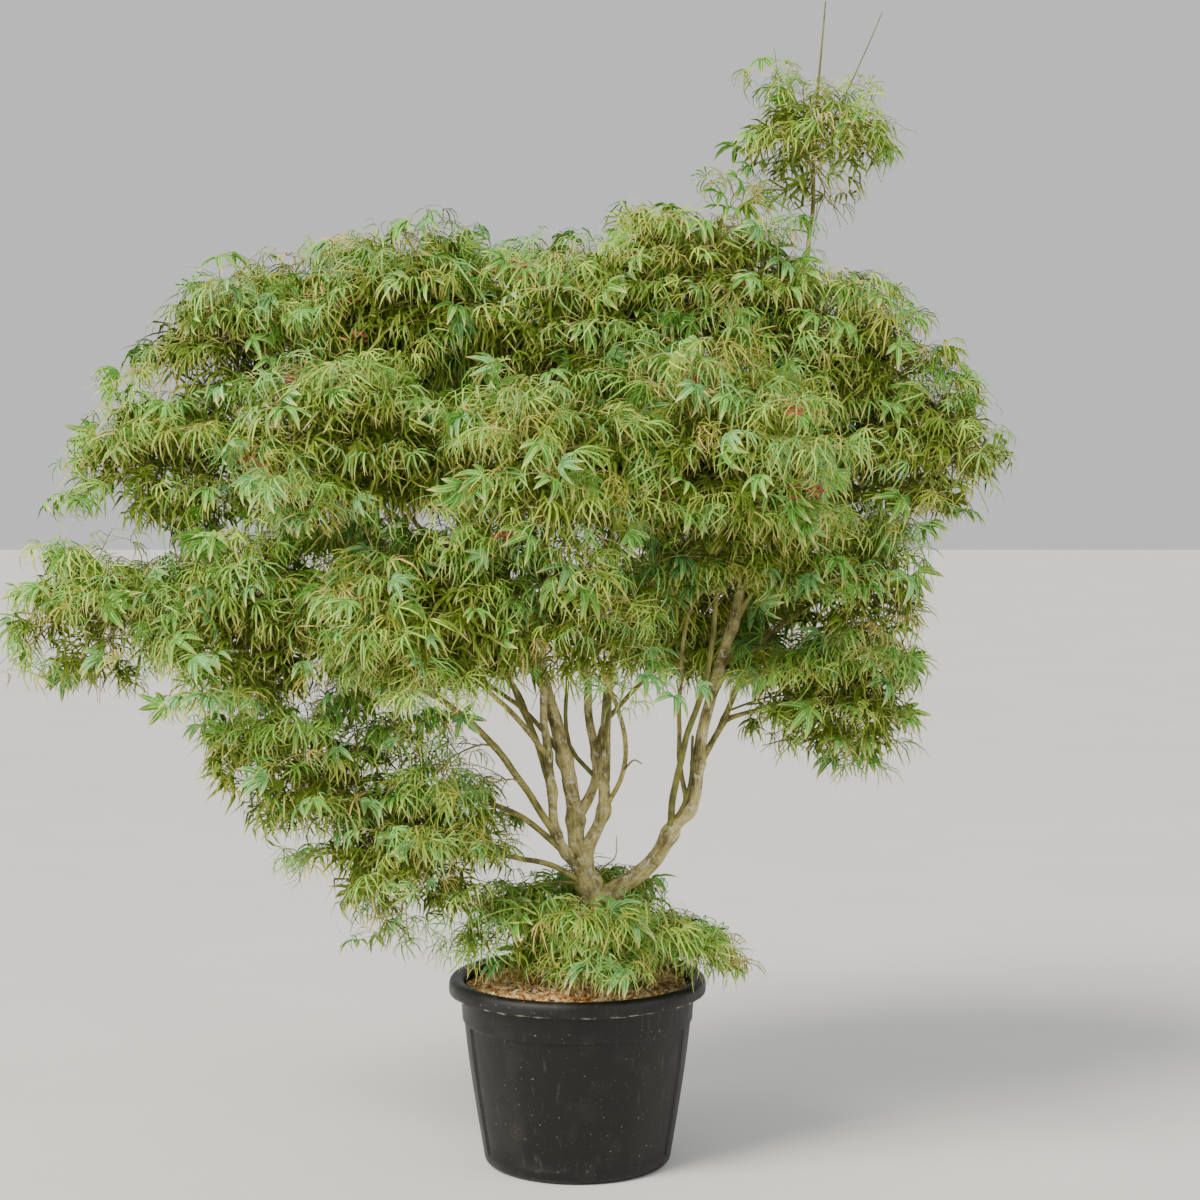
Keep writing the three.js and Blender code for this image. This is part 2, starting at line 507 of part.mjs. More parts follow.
// One stem with twigs all round it by the golden angle. Each ends in a leaf and forks half way, to the left
// and the right in turn. What would leave the mass's space or touch a limb or a leaf is made shorter or skipped.
function growMass(mass, limbs, obstacles) {
  const random = randomSource(mass.seed);
  const limb = limbs.get(mass.limb);
  const stem = massStem(mass, limb);
  const thick = mass.share === undefined ? limb.tip : SIDE_STEM_RADIUS;
  const thin = mass.shoot ? SHOOT_TIP_RADIUS : STEM_TIP_RADIUS;
  const stemRadius = (t) => THREE.MathUtils.lerp(thick, thin, t);
  let solid = toSolid(taperedBar(stem, stemRadius, STEM_SIDES, STEM_STEPS));
  if (mass.share !== undefined) solid = largestPiece(solid.subtract(limb.cutter));
  const wanted = mass.low ? LEAVES_PER_LOW_MASS : LEAVES_PER_MASS;
  const scale = mass.low ? LOW_LEAF_SCALE : 1;
  const middle = vector(mass.middle);
  const turn = Math.atan2(middle.y, middle.x - MIDDLE_OF_PLANT) - LEVEL_TWIG * GOLDEN_ANGLE;
  const highest = mass.shoot ? HIGHEST_TWIG_BY_SHOOT : HIGHEST_TWIG;
  const bareStem = solid;
  const sprays = [];

  // Only its root may lie in the twig or stem that carries a spray
  const touches = (spray, carrier) =>
    spray.intersect(carrier).volume() > ROOT_VOLUME ||
    [obstacles, ...sprays].some((other) => other !== carrier && !other.intersect(spray).isEmpty());
  const inside = (point) => MASSES.every((other) => other === mass || insideOf(mass, other, point) > 0);
  // A twig from a point on the stem, or on another twig, to a leaf with a given place for its tip or its root
  const tryLeaf = (from, at, heading, size, atRoot, carrier) => {
    const kind = random() < BROAD_SHARE ? BROAD_LEAF : NARROW_LEAF;
    const length = LEAF_LENGTH * scale * size * THREE.MathUtils.lerp(SHORTEST_LEAF, LONGEST_LEAF, random());
    const root = atRoot ? at : at.clone().addScaledVector(heading, -length);
    const footRadius = atRoot ? SIDE_TWIG_RADIUS : TWIG_RADIUS;
    const spray = leafyTwig(from, footRadius, leafPlace(root, heading, random), kind, length);
    if (!cornersOf(spray).every(inside) || touches(spray, carrier)) return null;
    solid = solid.add(spray);
    return { spray, root };
  };

  for (let k = 0; k < MOST_TWIGS && sprays.length < wanted; k++) {
    const height = THREE.MathUtils.lerp(TOP_HEIGHT, FOOT_HEIGHT, (k % TWIGS_A_ROUND) / (TWIGS_A_ROUND - 1));
    const around = turn + k * GOLDEN_ANGLE;
    const level = Math.sqrt(1 - height * height);
    const outward = new THREE.Vector3(Math.cos(around) * level, Math.sin(around) * level, height);
    const from = stemPoint(stem, THREE.MathUtils.lerp(LOWEST_TWIG, highest, random()));
    const room = roomAlong(mass, outward);
    for (const [reach, size] of REACHES) {
      const leafTip = middle.clone().addScaledVector(outward, room * reach);
      const main = tryLeaf(from, leafTip, leafHeading(outward, random), size, false, bareStem);
      if (!main) continue;
      const way = main.root.clone().sub(from);
      const fork = from.clone().addScaledVector(way, SIDE_TWIG_SHARE);
      const turned = way.clone().setZ(0).normalize();
      turned.applyAxisAngle(UP, k % 2 === 0 ? SIDE_TWIG_TURN : -SIDE_TWIG_TURN);
      const sideRoot = fork.clone().addScaledVector(turned, SIDE_TWIG_LENGTH * scale);
      const sideHeading = leafHeading(turned, random);
      sprays.push(main.spray);
      const other = tryLeaf(fork, sideRoot, sideHeading, size * SIDE_LEAF_SIZE, true, main.spray);
      if (other) sprays.push(other.spray);
      break;
    }
  }
  return largestPiece(solid.simplify(SLIVER));
}

// The pot, the mulch and the limbs made a little thicker, which no twig or leaf may touch
function thickened(limbs, pot, soil) {
  let whole = pot.add(soil);
  for (const limb of limbs.values()) {
    const radiusAt = limbRadius(limb, limb.path.getLength(), LIMB_CLEARANCE);
    whole = whole.add(toSolid(taperedBar(limb.path, radiusAt, limb.sides, limb.steps)));
  }
  return whole;
}

const plant = new THREE.Group();

function addPiece(name, solid, finish) {
  const mesh = new THREE.Mesh(toGeometry(solid), finish);
  mesh.name = name;
  plant.add(mesh);
}

const pot = buildPot();
const soil = buildSoil();
const limbs = buildLimbs();
const obstacles = thickened(limbs, pot, soil);

addPiece('pot', pot, POT_PLASTIC);
addPiece('soil', soil, MULCH);
for (const [name, limb] of limbs) addPiece(name, limb.solid, limb.young ? YOUNG_BARK : OLD_BARK);
MASSES.forEach((mass) => {
  const solid = growMass(mass, limbs, obstacles);
  addPiece(`foliage_${mass.name}`, solid, mass.low ? LOW_FOLIAGE : FOLIAGE);
});

export default plant;
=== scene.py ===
# %% [markdown]
# # A potted Japanese maple
# A tree with many stems stands in a black nursery pot. Its stems are bare and pale, and its leaves hang from
# arching twigs in tiers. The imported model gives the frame: the place and size of the pot, of every limb and of
# every mass of foliage. This lesson dresses that frame with bark, twigs, leaves, mulch and moulded plastic.

# %% The fixed frame
import json
import math

import bpy
import numpy as np
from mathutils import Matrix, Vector, noise

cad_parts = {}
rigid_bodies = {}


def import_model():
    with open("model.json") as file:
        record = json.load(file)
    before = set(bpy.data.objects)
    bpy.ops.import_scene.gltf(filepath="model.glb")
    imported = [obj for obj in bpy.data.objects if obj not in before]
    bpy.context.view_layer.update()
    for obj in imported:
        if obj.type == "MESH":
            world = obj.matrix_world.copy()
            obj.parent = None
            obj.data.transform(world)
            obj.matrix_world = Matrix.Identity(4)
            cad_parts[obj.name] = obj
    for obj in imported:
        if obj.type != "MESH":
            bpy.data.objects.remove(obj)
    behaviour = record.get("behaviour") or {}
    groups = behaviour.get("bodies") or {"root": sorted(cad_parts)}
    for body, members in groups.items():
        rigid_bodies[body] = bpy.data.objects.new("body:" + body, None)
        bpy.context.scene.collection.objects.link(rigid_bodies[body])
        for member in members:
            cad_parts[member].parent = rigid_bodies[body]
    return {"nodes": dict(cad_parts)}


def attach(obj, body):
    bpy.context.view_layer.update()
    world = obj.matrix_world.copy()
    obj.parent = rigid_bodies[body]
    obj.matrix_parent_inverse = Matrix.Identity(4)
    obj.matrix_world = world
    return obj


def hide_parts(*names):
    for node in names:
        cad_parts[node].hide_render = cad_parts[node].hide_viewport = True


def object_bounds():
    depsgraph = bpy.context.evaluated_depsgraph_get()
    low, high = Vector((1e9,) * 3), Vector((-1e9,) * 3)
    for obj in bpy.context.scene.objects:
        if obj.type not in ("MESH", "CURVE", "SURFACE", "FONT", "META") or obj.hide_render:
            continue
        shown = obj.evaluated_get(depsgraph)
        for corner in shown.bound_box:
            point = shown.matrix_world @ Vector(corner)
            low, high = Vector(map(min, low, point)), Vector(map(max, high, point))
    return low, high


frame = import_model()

CAD_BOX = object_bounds()
MM = 0.001
UP = np.array([0.0, 0.0, 1.0])
print("nodes in the frame:", len(frame["nodes"]))

# %% [markdown]
# ## The camera
# The photograph was taken from about head height, nearly six metres away, looking slightly down. A long lens
# from there gives the right foreshortening of the pot's rim, so the camera comes before any shape.

# %% Camera
CAMERA_PLACE = (0.053, -5.81, 1.72)
CAMERA_PITCH = 3.9  # degrees below the level
camera = bpy.data.objects.new("camera", bpy.data.cameras.new("camera"))
camera.data.lens = 75
camera.data.sensor_width = 36
camera.location = CAMERA_PLACE
camera.rotation_euler = (math.radians(90 - CAMERA_PITCH), 0, 0)
bpy.context.scene.collection.objects.link(camera)
bpy.context.scene.camera = camera
print("camera height in metres:", camera.location.z)

# %% [markdown]
# ## Helpers for meshes
# Thousands of leaves and twigs would be slow as separate objects, and the export drops particles. So every
# kind of small thing is worked out as arrays of points and triangles, which are joined into one mesh.

# %% Meshes from arrays
def mesh_piece(name, points, triangles, material, uv=None, smooth=True):
    """One object from points in metres and triangles; uv is given for each point."""
    mesh = bpy.data.meshes.new(name)
    mesh.vertices.add(len(points))
    mesh.vertices.foreach_set("co", np.asarray(points, dtype=np.float32).ravel())
    mesh.loops.add(len(triangles) * 3)
    mesh.loops.foreach_set("vertex_index", np.asarray(triangles, dtype=np.int32).ravel())
    mesh.polygons.add(len(triangles))
    mesh.polygons.foreach_set("loop_start", np.arange(0, len(triangles) * 3, 3, dtype=np.int32))
    if uv is not None:
        layer = mesh.uv_layers.new(name="surface")
        layer.data.foreach_set("uv", np.asarray(uv, dtype=np.float32)[triangles.ravel()].ravel())
    mesh.update(calc_edges=True)
    mesh.polygons.foreach_set("use_smooth", np.full(len(triangles), smooth))
    mesh.materials.append(material)
    piece = bpy.data.objects.new(name, mesh)
    bpy.context.scene.collection.objects.link(piece)
    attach(piece, "root")
    print(name, "triangles:", len(triangles))
    return piece


class Heap:
    """Points, triangles and surface places of many small shapes, kept to be joined into one mesh."""

    def __init__(self):
        self.points, self.triangles, self.uv, self.count = [], [], [], 0

    def add(self, points, triangles, uv):
        self.points.append(points)
        self.triangles.append(triangles + self.count)
        self.uv.append(uv)
        self.count += len(points)

    def piece(self, name, material, smooth=True):
        points = np.concatenate(self.points) * MM
        return mesh_piece(name, points, np.concatenate(self.triangles), material, np.concatenate(self.uv), smooth)


def unit(v):
    """Vectors, in the last axis, made one long."""
    return v / np.maximum(np.linalg.norm(v, axis=-1, keepdims=True), 1e-9)

# %% [markdown]
# ## Colours and nodes
# Colours are written as the eye reads them on a screen, in hex, and Blender wants them linear. One function
# turns them, and one adds a shader node with its settings and links, so that each material reads as a recipe.
# A pattern's scale comes from the size of its lumps on the real thing, in millimetres.

# %% Colours and nodes
def linear(code):
    """A hex colour as linear red, green, blue and alpha."""
    values = [int(code[i:i + 2], 16) / 255 for i in (1, 3, 5)]
    return [v / 12.92 if v <= 0.04045 else ((v + 0.055) / 1.055) ** 2.4 for v in values] + [1.0]


def new_material(name):
    """A material with only its output and a principled shader, joined."""
    material = bpy.data.materials.new(name)
    material.use_nodes = True
    return material, material.node_tree, material.node_tree.nodes["Principled BSDF"]


def add_node(tree, kind, settings=None, values=None, links=None):
    """A node of one kind, with its settings, its input values and the sockets that feed its inputs."""
    node = tree.nodes.new(kind)
    for key, value in (settings or {}).items():
        setattr(node, key, value)
    for key, value in (values or {}).items():
        node.inputs[key].default_value = value
    for key, socket in (links or {}).items():
        tree.links.new(socket, node.inputs[key])
    return node


MIX_COLOURS = {"data_type": "RGBA"}
SHARE, FIRST, SECOND, MIXED = 0, 6, 7, 2  # a colour mix's sockets: its share, its two colours and its result


def lumps(size):
    """The scale of a noise whose lumps are about so many millimetres across."""
    return 1 / (size * MM)


print("white as linear values:", linear("#ffffff"))

# %% [markdown]
# ## The tree's frame again
# A pruned maple forks low into a handful of long stems, which run up and out and carry side boughs. The limbs
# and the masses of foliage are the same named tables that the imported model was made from, in millimetres, so
# that the bark lies where the solid limbs are and the leaves fill the same spaces.

# %% Limbs
TRUNK_FOOT = 418.3
ROOT_FLARE = 9
ROOT_FLARE_HEIGHT = 28
GAP = 0.3
LIMB_TAPER = 0.85
# name, parent, share along the parent (None is its tip), radius at the foot and the tip, way points
LIMBS = [
    ("trunk", None, None, 33, 20,
     [(39, 0, TRUNK_FOOT), (39, 0, 470), (41, 0, 530), (44, 0, 600), (22, 0, 672), (3, 0, 735)]),
    ("centre_stem", "trunk", None, 20, 6, [(-10, 6, 860), (-66, 12, 1085), (-140, 14, 1300), (-370, 0, 1880)]),
    ("left_stem", "trunk", 0.78, 12, 5,
     [(-46, -18, 769), (-61, -26, 904), (-78, -40, 1090), (-74, -60, 1400), (-60, -66, 1830)]),
    ("crook_stem", "trunk", 0.93, 16, 5,
     [(61, -12, 832), (62, -12, 900), (70, 36, 1050), (86, 150, 1304), (72, 400, 1640)]),
    ("inner_stem", "centre_stem", 0.06, 12, 5,
     [(46, 30, 905), (28, 45, 1055), (24, 76, 1276), (100, 86, 1462), (250, 40, 1900)]),
    ("right_stem", "trunk", 0.6, 22, 17, [(96, -4, 648), (168, -12, 702), (226, -20, 792)]),
    ("leader_stem", "right_stem", None, 16, 5,
     [(268, -24, 850), (293, -28, 1019), (379, -28, 1346), (512, -6, 1995), (543, 0, 2215)]),
    ("green_shoot", "right_stem", 0.93, 9, 5,
     [(226, -48, 881), (250, -76, 1000), (293, -165, 1157), (322, -300, 1480)]),
    ("straight_shoot", "leader_stem", 0.035, 6, 4.5,
     [(244, 8, 905), (240, 24, 1118), (262, -30, 1304), (316, -104, 1385)]),
    ("right_branch", "leader_stem", 0.115, 8, 5, [(342, 16, 1037), (418, 28, 1206), (520, 30, 1290)]),
    ("left_long_bough", "left_stem", 0.11, 9, 5,
     [(-226, -50, 1025), (-400, -60, 1153), (-570, -60, 1261), (-905, -40, 1378)]),
    ("upper_left_bough", "left_stem", 0.2, 8, 5,
     [(-103, -8, 1014), (-166, -20, 1153), (-379, -40, 1404), (-750, -40, 1655)]),
    ("low_left_bough", "trunk", 0.72, 8, 6, [(-60, -26, 706), (-150, -45, 728)]),
    ("lower_left_bough", "left_stem", 0.07, 8, 5, [(-140, -34, 826), (-300, -50, 880), (-430, -55, 902)]),
    ("left_low_bough", "left_long_bough", 0.42, 6, 5, [(-500, -112, 1190), (-570, -134, 1208)]),
    ("low_front_left_bough", "left_stem", 0.27, 7, 5, [(-140, -126, 1066), (-236, -290, 1180)]),
    ("left_front_bough", "left_stem", 0.41, 8, 5, [(-170, -150, 1270), (-370, -306, 1540)]),
    ("centre_front_bough", "left_stem", 0.52, 8, 5, [(-80, -190, 1400), (-68, -350, 1510)]),
    ("low_front_centre_bough", "crook_stem", 0.12, 6, 5, [(104, -46, 920), (112, -90, 1010), (60, -208, 1180)]),
    ("top_left_bough", "centre_stem", 0.72, 7, 5, [(-430, 20, 1760), (-610, 34, 1900)]),
    ("right_shoulder_bough", "leader_stem", 0.46, 7, 5, [(470, 6, 1590), (548, 14, 1800)]),
    ("right_tip_bough", "leader_stem", 0.34, 7, 5, [(470, -10, 1440), (590, -2, 1575)]),
    ("right_lower_bough", "right_branch", 0.28, 6, 5, [(420, 40, 1062), (470, 50, 1076)]),
    ("back_left_bough", "centre_stem", 0.42, 8, 5, [(-210, 160, 1390), (-330, 330, 1580)]),
    ("back_right_bough", "leader_stem", 0.25, 8, 5, [(380, 130, 1330), (455, 320, 1500)]),
    ("back_low_left_bough", "centre_stem", 0.18, 7, 5, [(-120, 130, 1040), (-264, 270, 1130)]),
    ("back_low_right_bough", "inner_stem", 0.14, 7, 5, [(64, 140, 1020), (196, 290, 1140)]),
]

# %% [markdown]
# A limb's way points are joined by a smooth curve that passes through each one. It is a cubic curve with
# centripetal spacing, which neither loops nor overshoots where points lie close together, as they do at a fork.

# %% Curves through points
class Path:
    """A smooth open curve through points, read by its share of the length."""

    SAMPLES = 40

    def __init__(self, points):
        p = np.asarray(points, dtype=float)
        p = np.vstack([2 * p[0] - p[1], p, 2 * p[-1] - p[-2]])
        spans = []
        for i in range(1, len(p) - 2):
            knots = np.maximum(np.linalg.norm(np.diff(p[i - 1:i + 3], axis=0), axis=1) ** 0.5, 1e-4)
            d0, d1, d2 = knots
            leave = ((p[i] - p[i - 1]) / d0 - (p[i + 1] - p[i - 1]) / (d0 + d1) + (p[i + 1] - p[i]) / d1) * d1
            reach = ((p[i + 1] - p[i]) / d1 - (p[i + 2] - p[i]) / (d1 + d2) + (p[i + 2] - p[i + 1]) / d2) * d1
            t = np.linspace(0, 1, self.SAMPLES, endpoint=i == len(p) - 3)[:, None]
            bend = -3 * p[i] + 3 * p[i + 1] - 2 * leave - reach
            twist = 2 * p[i] - 2 * p[i + 1] + leave + reach
            spans.append(p[i] + leave * t + bend * t ** 2 + twist * t ** 3)
        self.points = np.vstack(spans)
        steps = np.linalg.norm(np.diff(self.points, axis=0), axis=1)
        self.along = np.concatenate([[0], np.cumsum(steps)])
        self.length = self.along[-1]

    def at(self, share):
        share = np.clip(share, 0, 1) * self.length
        return np.stack([np.interp(share, self.along, self.points[:, k]) for k in range(3)], axis=-1)

    def heading(self, share):
        return unit(self.at(np.clip(share + 0.01, 0, 1)) - self.at(np.clip(share - 0.01, 0, 1)))


def limb_path(parent, share, base, way):
    """A limb's path: from a place along its parent, or going on from the parent's tip across a slight gap."""
    if parent is None:
        return Path(way)
    trail = limbs[parent]["path"]
    if share is not None:
        return Path([trail.at(share), *way])
    end = trail.at(1) + trail.heading(1) * GAP
    return Path([end, end + trail.heading(1) * base, *way])


limbs = {}
for limb_name, parent_name, parent_share, foot_radius, tip_radius, way_points in LIMBS:
    path = limb_path(parent_name, parent_share, foot_radius, way_points)
    limbs[limb_name] = {"path": path, "base": foot_radius, "tip": tip_radius, "parent": parent_name,
                        "share": parent_share}
total_length = sum(limb["path"].length for limb in limbs.values()) * MM
print("limbs:", len(limbs), "metres in all:", round(total_length, 1))

# %% [markdown]
# ## The masses of foliage
# The foliage hangs in tiers: each limb ends in one mass, with air between neighbours. A mass's space is a
# rounded box cut off where it would meet the next one, as soap bubbles share flat walls. The tiers' middles
# and half sizes are named, and a bare shoot rises from the highest tuft.

# %% Masses
# name, limb, share along the limb (None is its tip), middle, half sizes
MASSES = [
    ("top_left_tip", "top_left_bough", None, (-780, 30, 1925), (285, 270, 185)),
    ("top_left", "centre_stem", None, (-400, 0, 1985), (290, 335, 215)),
    ("top_centre", "left_stem", None, (-40, -55, 1945), (295, 335, 215)),
    ("top_right", "inner_stem", None, (275, 25, 2040), (310, 345, 225)),
    ("leader_tuft", "leader_stem", None, (545, 0, 2365), (200, 200, 195)),
    ("right_shoulder", "right_shoulder_bough", None, (610, 20, 1880), (275, 295, 190)),
    ("left_shoulder", "upper_left_bough", None, (-930, -35, 1645), (300, 270, 225)),
    ("left_front", "left_front_bough", None, (-500, -385, 1685), (290, 280, 220)),
    ("centre_front", "centre_front_bough", None, (-65, -465, 1625), (310, 295, 230)),
    ("right_front", "green_shoot", None, (310, -385, 1685), (300, 295, 235)),
    ("right_tip", "right_tip_bough", None, (770, 0, 1665), (310, 295, 195)),
    ("back_left", "back_left_bough", None, (-425, 430, 1705), (320, 295, 230)),
    ("back_centre", "crook_stem", None, (55, 485, 1775), (320, 295, 230)),
    ("back_right", "back_right_bough", None, (485, 415, 1630), (305, 295, 225)),
    ("far_left", "left_long_bough", None, (-1085, -35, 1275), (295, 245, 190)),
    ("left_low", "left_low_bough", None, (-700, -145, 1280), (300, 280, 230)),
    ("low_front_left", "low_front_left_bough", None, (-320, -380, 1295), (275, 270, 195)),
    ("low_front_centre", "low_front_centre_bough", None, (-5, -300, 1310), (270, 255, 195)),
    ("low_front_right", "straight_shoot", None, (355, -180, 1495), (275, 270, 200)),
    ("right_low", "right_branch", None, (615, 20, 1365), (240, 270, 220)),
    ("back_low_left", "back_low_left_bough", None, (-400, 370, 1245), (300, 280, 205)),
    ("back_low_right", "back_low_right_bough", None, (305, 380, 1250), (295, 280, 205)),
    ("lower_left", "lower_left_bough", None, (-645, -55, 935), (300, 245, 215)),
    ("low_left_tip", "low_left_bough", None, (-375, -60, 735), (300, 235, 210)),
    ("right_lower", "right_lower_bough", None, (600, 55, 1085), (285, 245, 165)),
    ("skirt_left", "trunk", 0.17, (-140, -50, 560), (150, 130, 105)),
    ("skirt_right", "trunk", 0.22, (255, -40, 560), (165, 130, 95)),
    ("skirt_front", "trunk", 0.1, (50, -180, 560), (140, 120, 95)),
    ("skirt_back", "trunk", 0.13, (45, 170, 560), (150, 120, 95)),
]
LEADER_SHOOT_TIP = (570, 0, 2699)
# The photo shows some sides of the tree flatter than the masses' own rounding: way out, distance, masses
FLAT_SIDES = [
    ((-0.62, 0, 0.785), 2140, ("top_left_tip", "top_left", "left_shoulder")),
    ((-1, 0, 0), 1215, ("left_shoulder",)),
    ((0.739, 0, 0.674), 1925, ("right_shoulder", "right_tip", "top_right")),
    ((1, 0, 0), 825, ("right_low", "right_lower", "back_low_right")),
    ((-0.83, 0, -0.555), 210, ("lower_left", "low_left_tip")),
    ((0.505, 0, 0.865), 645, ("skirt_right", "skirt_back")),
]
MIDDLES = np.array([mass[3] for mass in MASSES], dtype=float)
HALVES = np.array([mass[4] for mass in MASSES], dtype=float)
CLAIMS = HALVES.mean(axis=1) ** 2


def room_along(number, direction, overlap=1.0):
    """How far a ray from a mass's middle runs in its own space, with an overlap into its neighbours'."""
    middle = MIDDLES[number]
    rounded = 1 / np.linalg.norm(direction / HALVES[number])
    apart = MIDDLES - middle
    closing = 2 * apart @ direction
    inside = (apart ** 2).sum(axis=1) - CLAIMS + CLAIMS[number]
    met = closing > 1e-6
    return min(rounded, overlap * (inside[met] / closing[met]).min(initial=rounded))


print("masses of foliage:", len(MASSES))

# %% [markdown]
# ## Tubes
# Limbs, twigs and leaf stalks are all tapering tubes. A ring of points is laid across the path at each step,
# and the rings are turned with the path without twisting, so that the bark's pattern doesn't spiral.

# %% Tubes
def carried_frames(points):
    """Two directions across a path at each of its points, carried along without twist."""
    headings = unit(np.gradient(points, axis=0))
    side = unit(np.cross(headings[0], [0.31, 0.95, 0.02]))
    sides = []
    for heading in headings:
        side = unit(side - heading * (side @ heading))
        sides.append(side)
    sides = np.array(sides)
    return sides, np.cross(headings, sides)


def tube(points, radii, sides, relief=None):
    """A tube with its end caps drawn to a point; relief gives each ring's radius by its angle."""
    points = np.asarray(points, dtype=float)
    across, over = carried_frames(points)
    angles = np.arange(sides) * 2 * math.pi / sides
    along = np.concatenate([[0], np.cumsum(np.linalg.norm(np.diff(points, axis=0), axis=1))])
    radius = np.repeat(np.asarray(radii, dtype=float)[:, None], sides, axis=1)
    if relief is not None:
        radius = relief(radius, angles, along)
    ring = (np.cos(angles)[None, :, None] * across[:, None] + np.sin(angles)[None, :, None] * over[:, None])
    rings = points[:, None] + ring * radius[..., None]
    count = len(points)
    i, j = np.meshgrid(np.arange(count - 1), np.arange(sides), indexing="ij")
    a, b = i * sides + j, i * sides + (j + 1) % sides
    faces = [np.stack([a, b, b + sides], -1).reshape(-1, 3), np.stack([a, b + sides, a + sides], -1).reshape(-1, 3)]
    end = count * sides
    j = np.arange(sides)
    last = (count - 1) * sides
    faces.append(np.stack([last + j, last + (j + 1) % sides, np.full(sides, end)], -1))
    tip = points[-1] + (points[-1] - points[-2]) / max(np.linalg.norm(points[-1] - points[-2]), 1e-6) * radii[-1]
    uv = np.stack([np.tile(angles / (2 * math.pi), count), np.repeat(along, sides) * MM], -1)
    uv = np.vstack([uv, [0.5, along[-1] * MM]])
    return np.vstack([rings.reshape(-1, 3), tip]), np.concatenate(faces), uv


short_tube = tube(np.outer(np.arange(3), UP), np.ones(3), 6)
print("triangles in a tube of two steps with six sides:", len(short_tube[1]))

# %% [markdown]
# ## Bark
# The stems' bark is thin, grey to tan and slightly ridged lengthwise, with pale lichen specks, swollen collars
# at the forks and faint rings where leaf pairs once grew. The relief is in the mesh, where the outline shows
# it: low waves round and along the limb. The finest grain is left to the material's bump.

# %% Limbs with bark relief
RING_STEP = 6.0
COLLAR_SWELL = 0.42  # swellings, ridges and rings are shares of the limb's radius
COLLAR_LENGTH = 1.3
RIDGE_HEIGHT = 0.075
RIDGE_LENGTH = 130
RIDGES_ROUND = 2.6
KNOB_SHARE = 1.1  # a knob's height as a share of a ridge's
KNOB_LENGTH = 34
KNOBS_ROUND = 0.9
KNUCKLE_SWELL = 0.34
KNUCKLE_LENGTH = 17.0
NODE_SPACING = 74.0
NODE_SWELL = 0.05
NODE_SPREAD = 12
WOBBLE = 4.0
WOBBLE_LENGTH = 90
STEADY_LENGTH = 40  # both ends of a limb keep to their path, so that the forks stay closed


def bark_relief(seed, base, parent_radius, knuckles):
    """Ridges, knobs, a fork's collar, knuckles and node rings, as a change of the limb's radius."""
    def relief(radius, angles, along):
        circle = np.stack([np.cos(angles), np.sin(angles)], -1)
        bumps = np.empty_like(radius)
        for row, place in enumerate(along):
            for column, (x, y) in enumerate(circle):
                ridge = noise.noise(Vector((x * RIDGES_ROUND + seed, y * RIDGES_ROUND, place / RIDGE_LENGTH)))
                knob = noise.noise(Vector((x * KNOBS_ROUND, y * KNOBS_ROUND + seed, place / KNOB_LENGTH)))
                bumps[row, column] = RIDGE_HEIGHT * (ridge + KNOB_SHARE * knob)
        collar = COLLAR_SWELL * np.exp(-np.maximum(along - parent_radius, 0) / (base * COLLAR_LENGTH))
        from_node = (along + seed * 9) % NODE_SPACING - NODE_SPACING / 2
        rings = NODE_SWELL * np.exp(-from_node ** 2 / NODE_SPREAD)
        swell = (collar if parent_radius else 0) + rings
        for place in knuckles:
            swell = swell + KNUCKLE_SWELL * np.exp(-((along - place) / KNUCKLE_LENGTH) ** 2)
        return radius * (1 + bumps + swell[:, None])
    return relief


def limb_radii(limb, shares):
    """A limb's radius at shares of its length: it tapers, and the trunk flares out at its foot."""
    taper = limb["base"] + (limb["tip"] - limb["base"]) * shares ** LIMB_TAPER
    if limb["parent"] is None:
        taper = taper + ROOT_FLARE * np.exp(-shares * limb["path"].length / ROOT_FLARE_HEIGHT)
    return taper


def radius_where_it_forks(limb):
    if limb["parent"] is None or limb["share"] is None:
        return 0.0
    return float(limb_radii(limbs[limb["parent"]], np.array(limb["share"])))


MAIN_STEMS = ["trunk", "centre_stem", "left_stem", "crook_stem", "inner_stem", "right_stem", "leader_stem"]
stem_heap, bough_heap, shoot_heap = Heap(), Heap(), Heap()
for number, (name, limb) in enumerate(limbs.items()):
    path = limb["path"]
    shares = np.linspace(0, 1, max(int(path.length / RING_STEP), 6))
    wobble = np.array([[noise.noise(Vector((share * path.length / WOBBLE_LENGTH, number * 3.1, axis * 7.7)))
                        for axis in range(3)] for share in shares])
    steady = path.length / STEADY_LENGTH
    fade = np.clip(shares * steady, 0, 1) * np.clip((1 - shares) * steady, 0, 1)
    points = path.at(shares) + wobble * fade[:, None] * WOBBLE
    sides = 28 if name == "trunk" else 18 if name in MAIN_STEMS else 12
    forks = [child["share"] * path.length for child in limbs.values()
             if child["parent"] == name and child["share"] is not None]
    relief = bark_relief(number * 1.7, limb["base"], radius_where_it_forks(limb), forks)
    heap = shoot_heap if name == "green_shoot" else stem_heap if name in MAIN_STEMS else bough_heap
    heap.add(*tube(points, limb_radii(limb, shares), sides, relief))
print("limbs in bark:", len(limbs))

# %% [markdown]
# Between the limbs stand thin shoots that bear little or nothing: a crossing branch, a stub left by the saw,
# dead twigs and the bare ends above the top tuft. They are too slight for solids of their own, so each is a
# short list of way points that starts inside the limb that carries it.

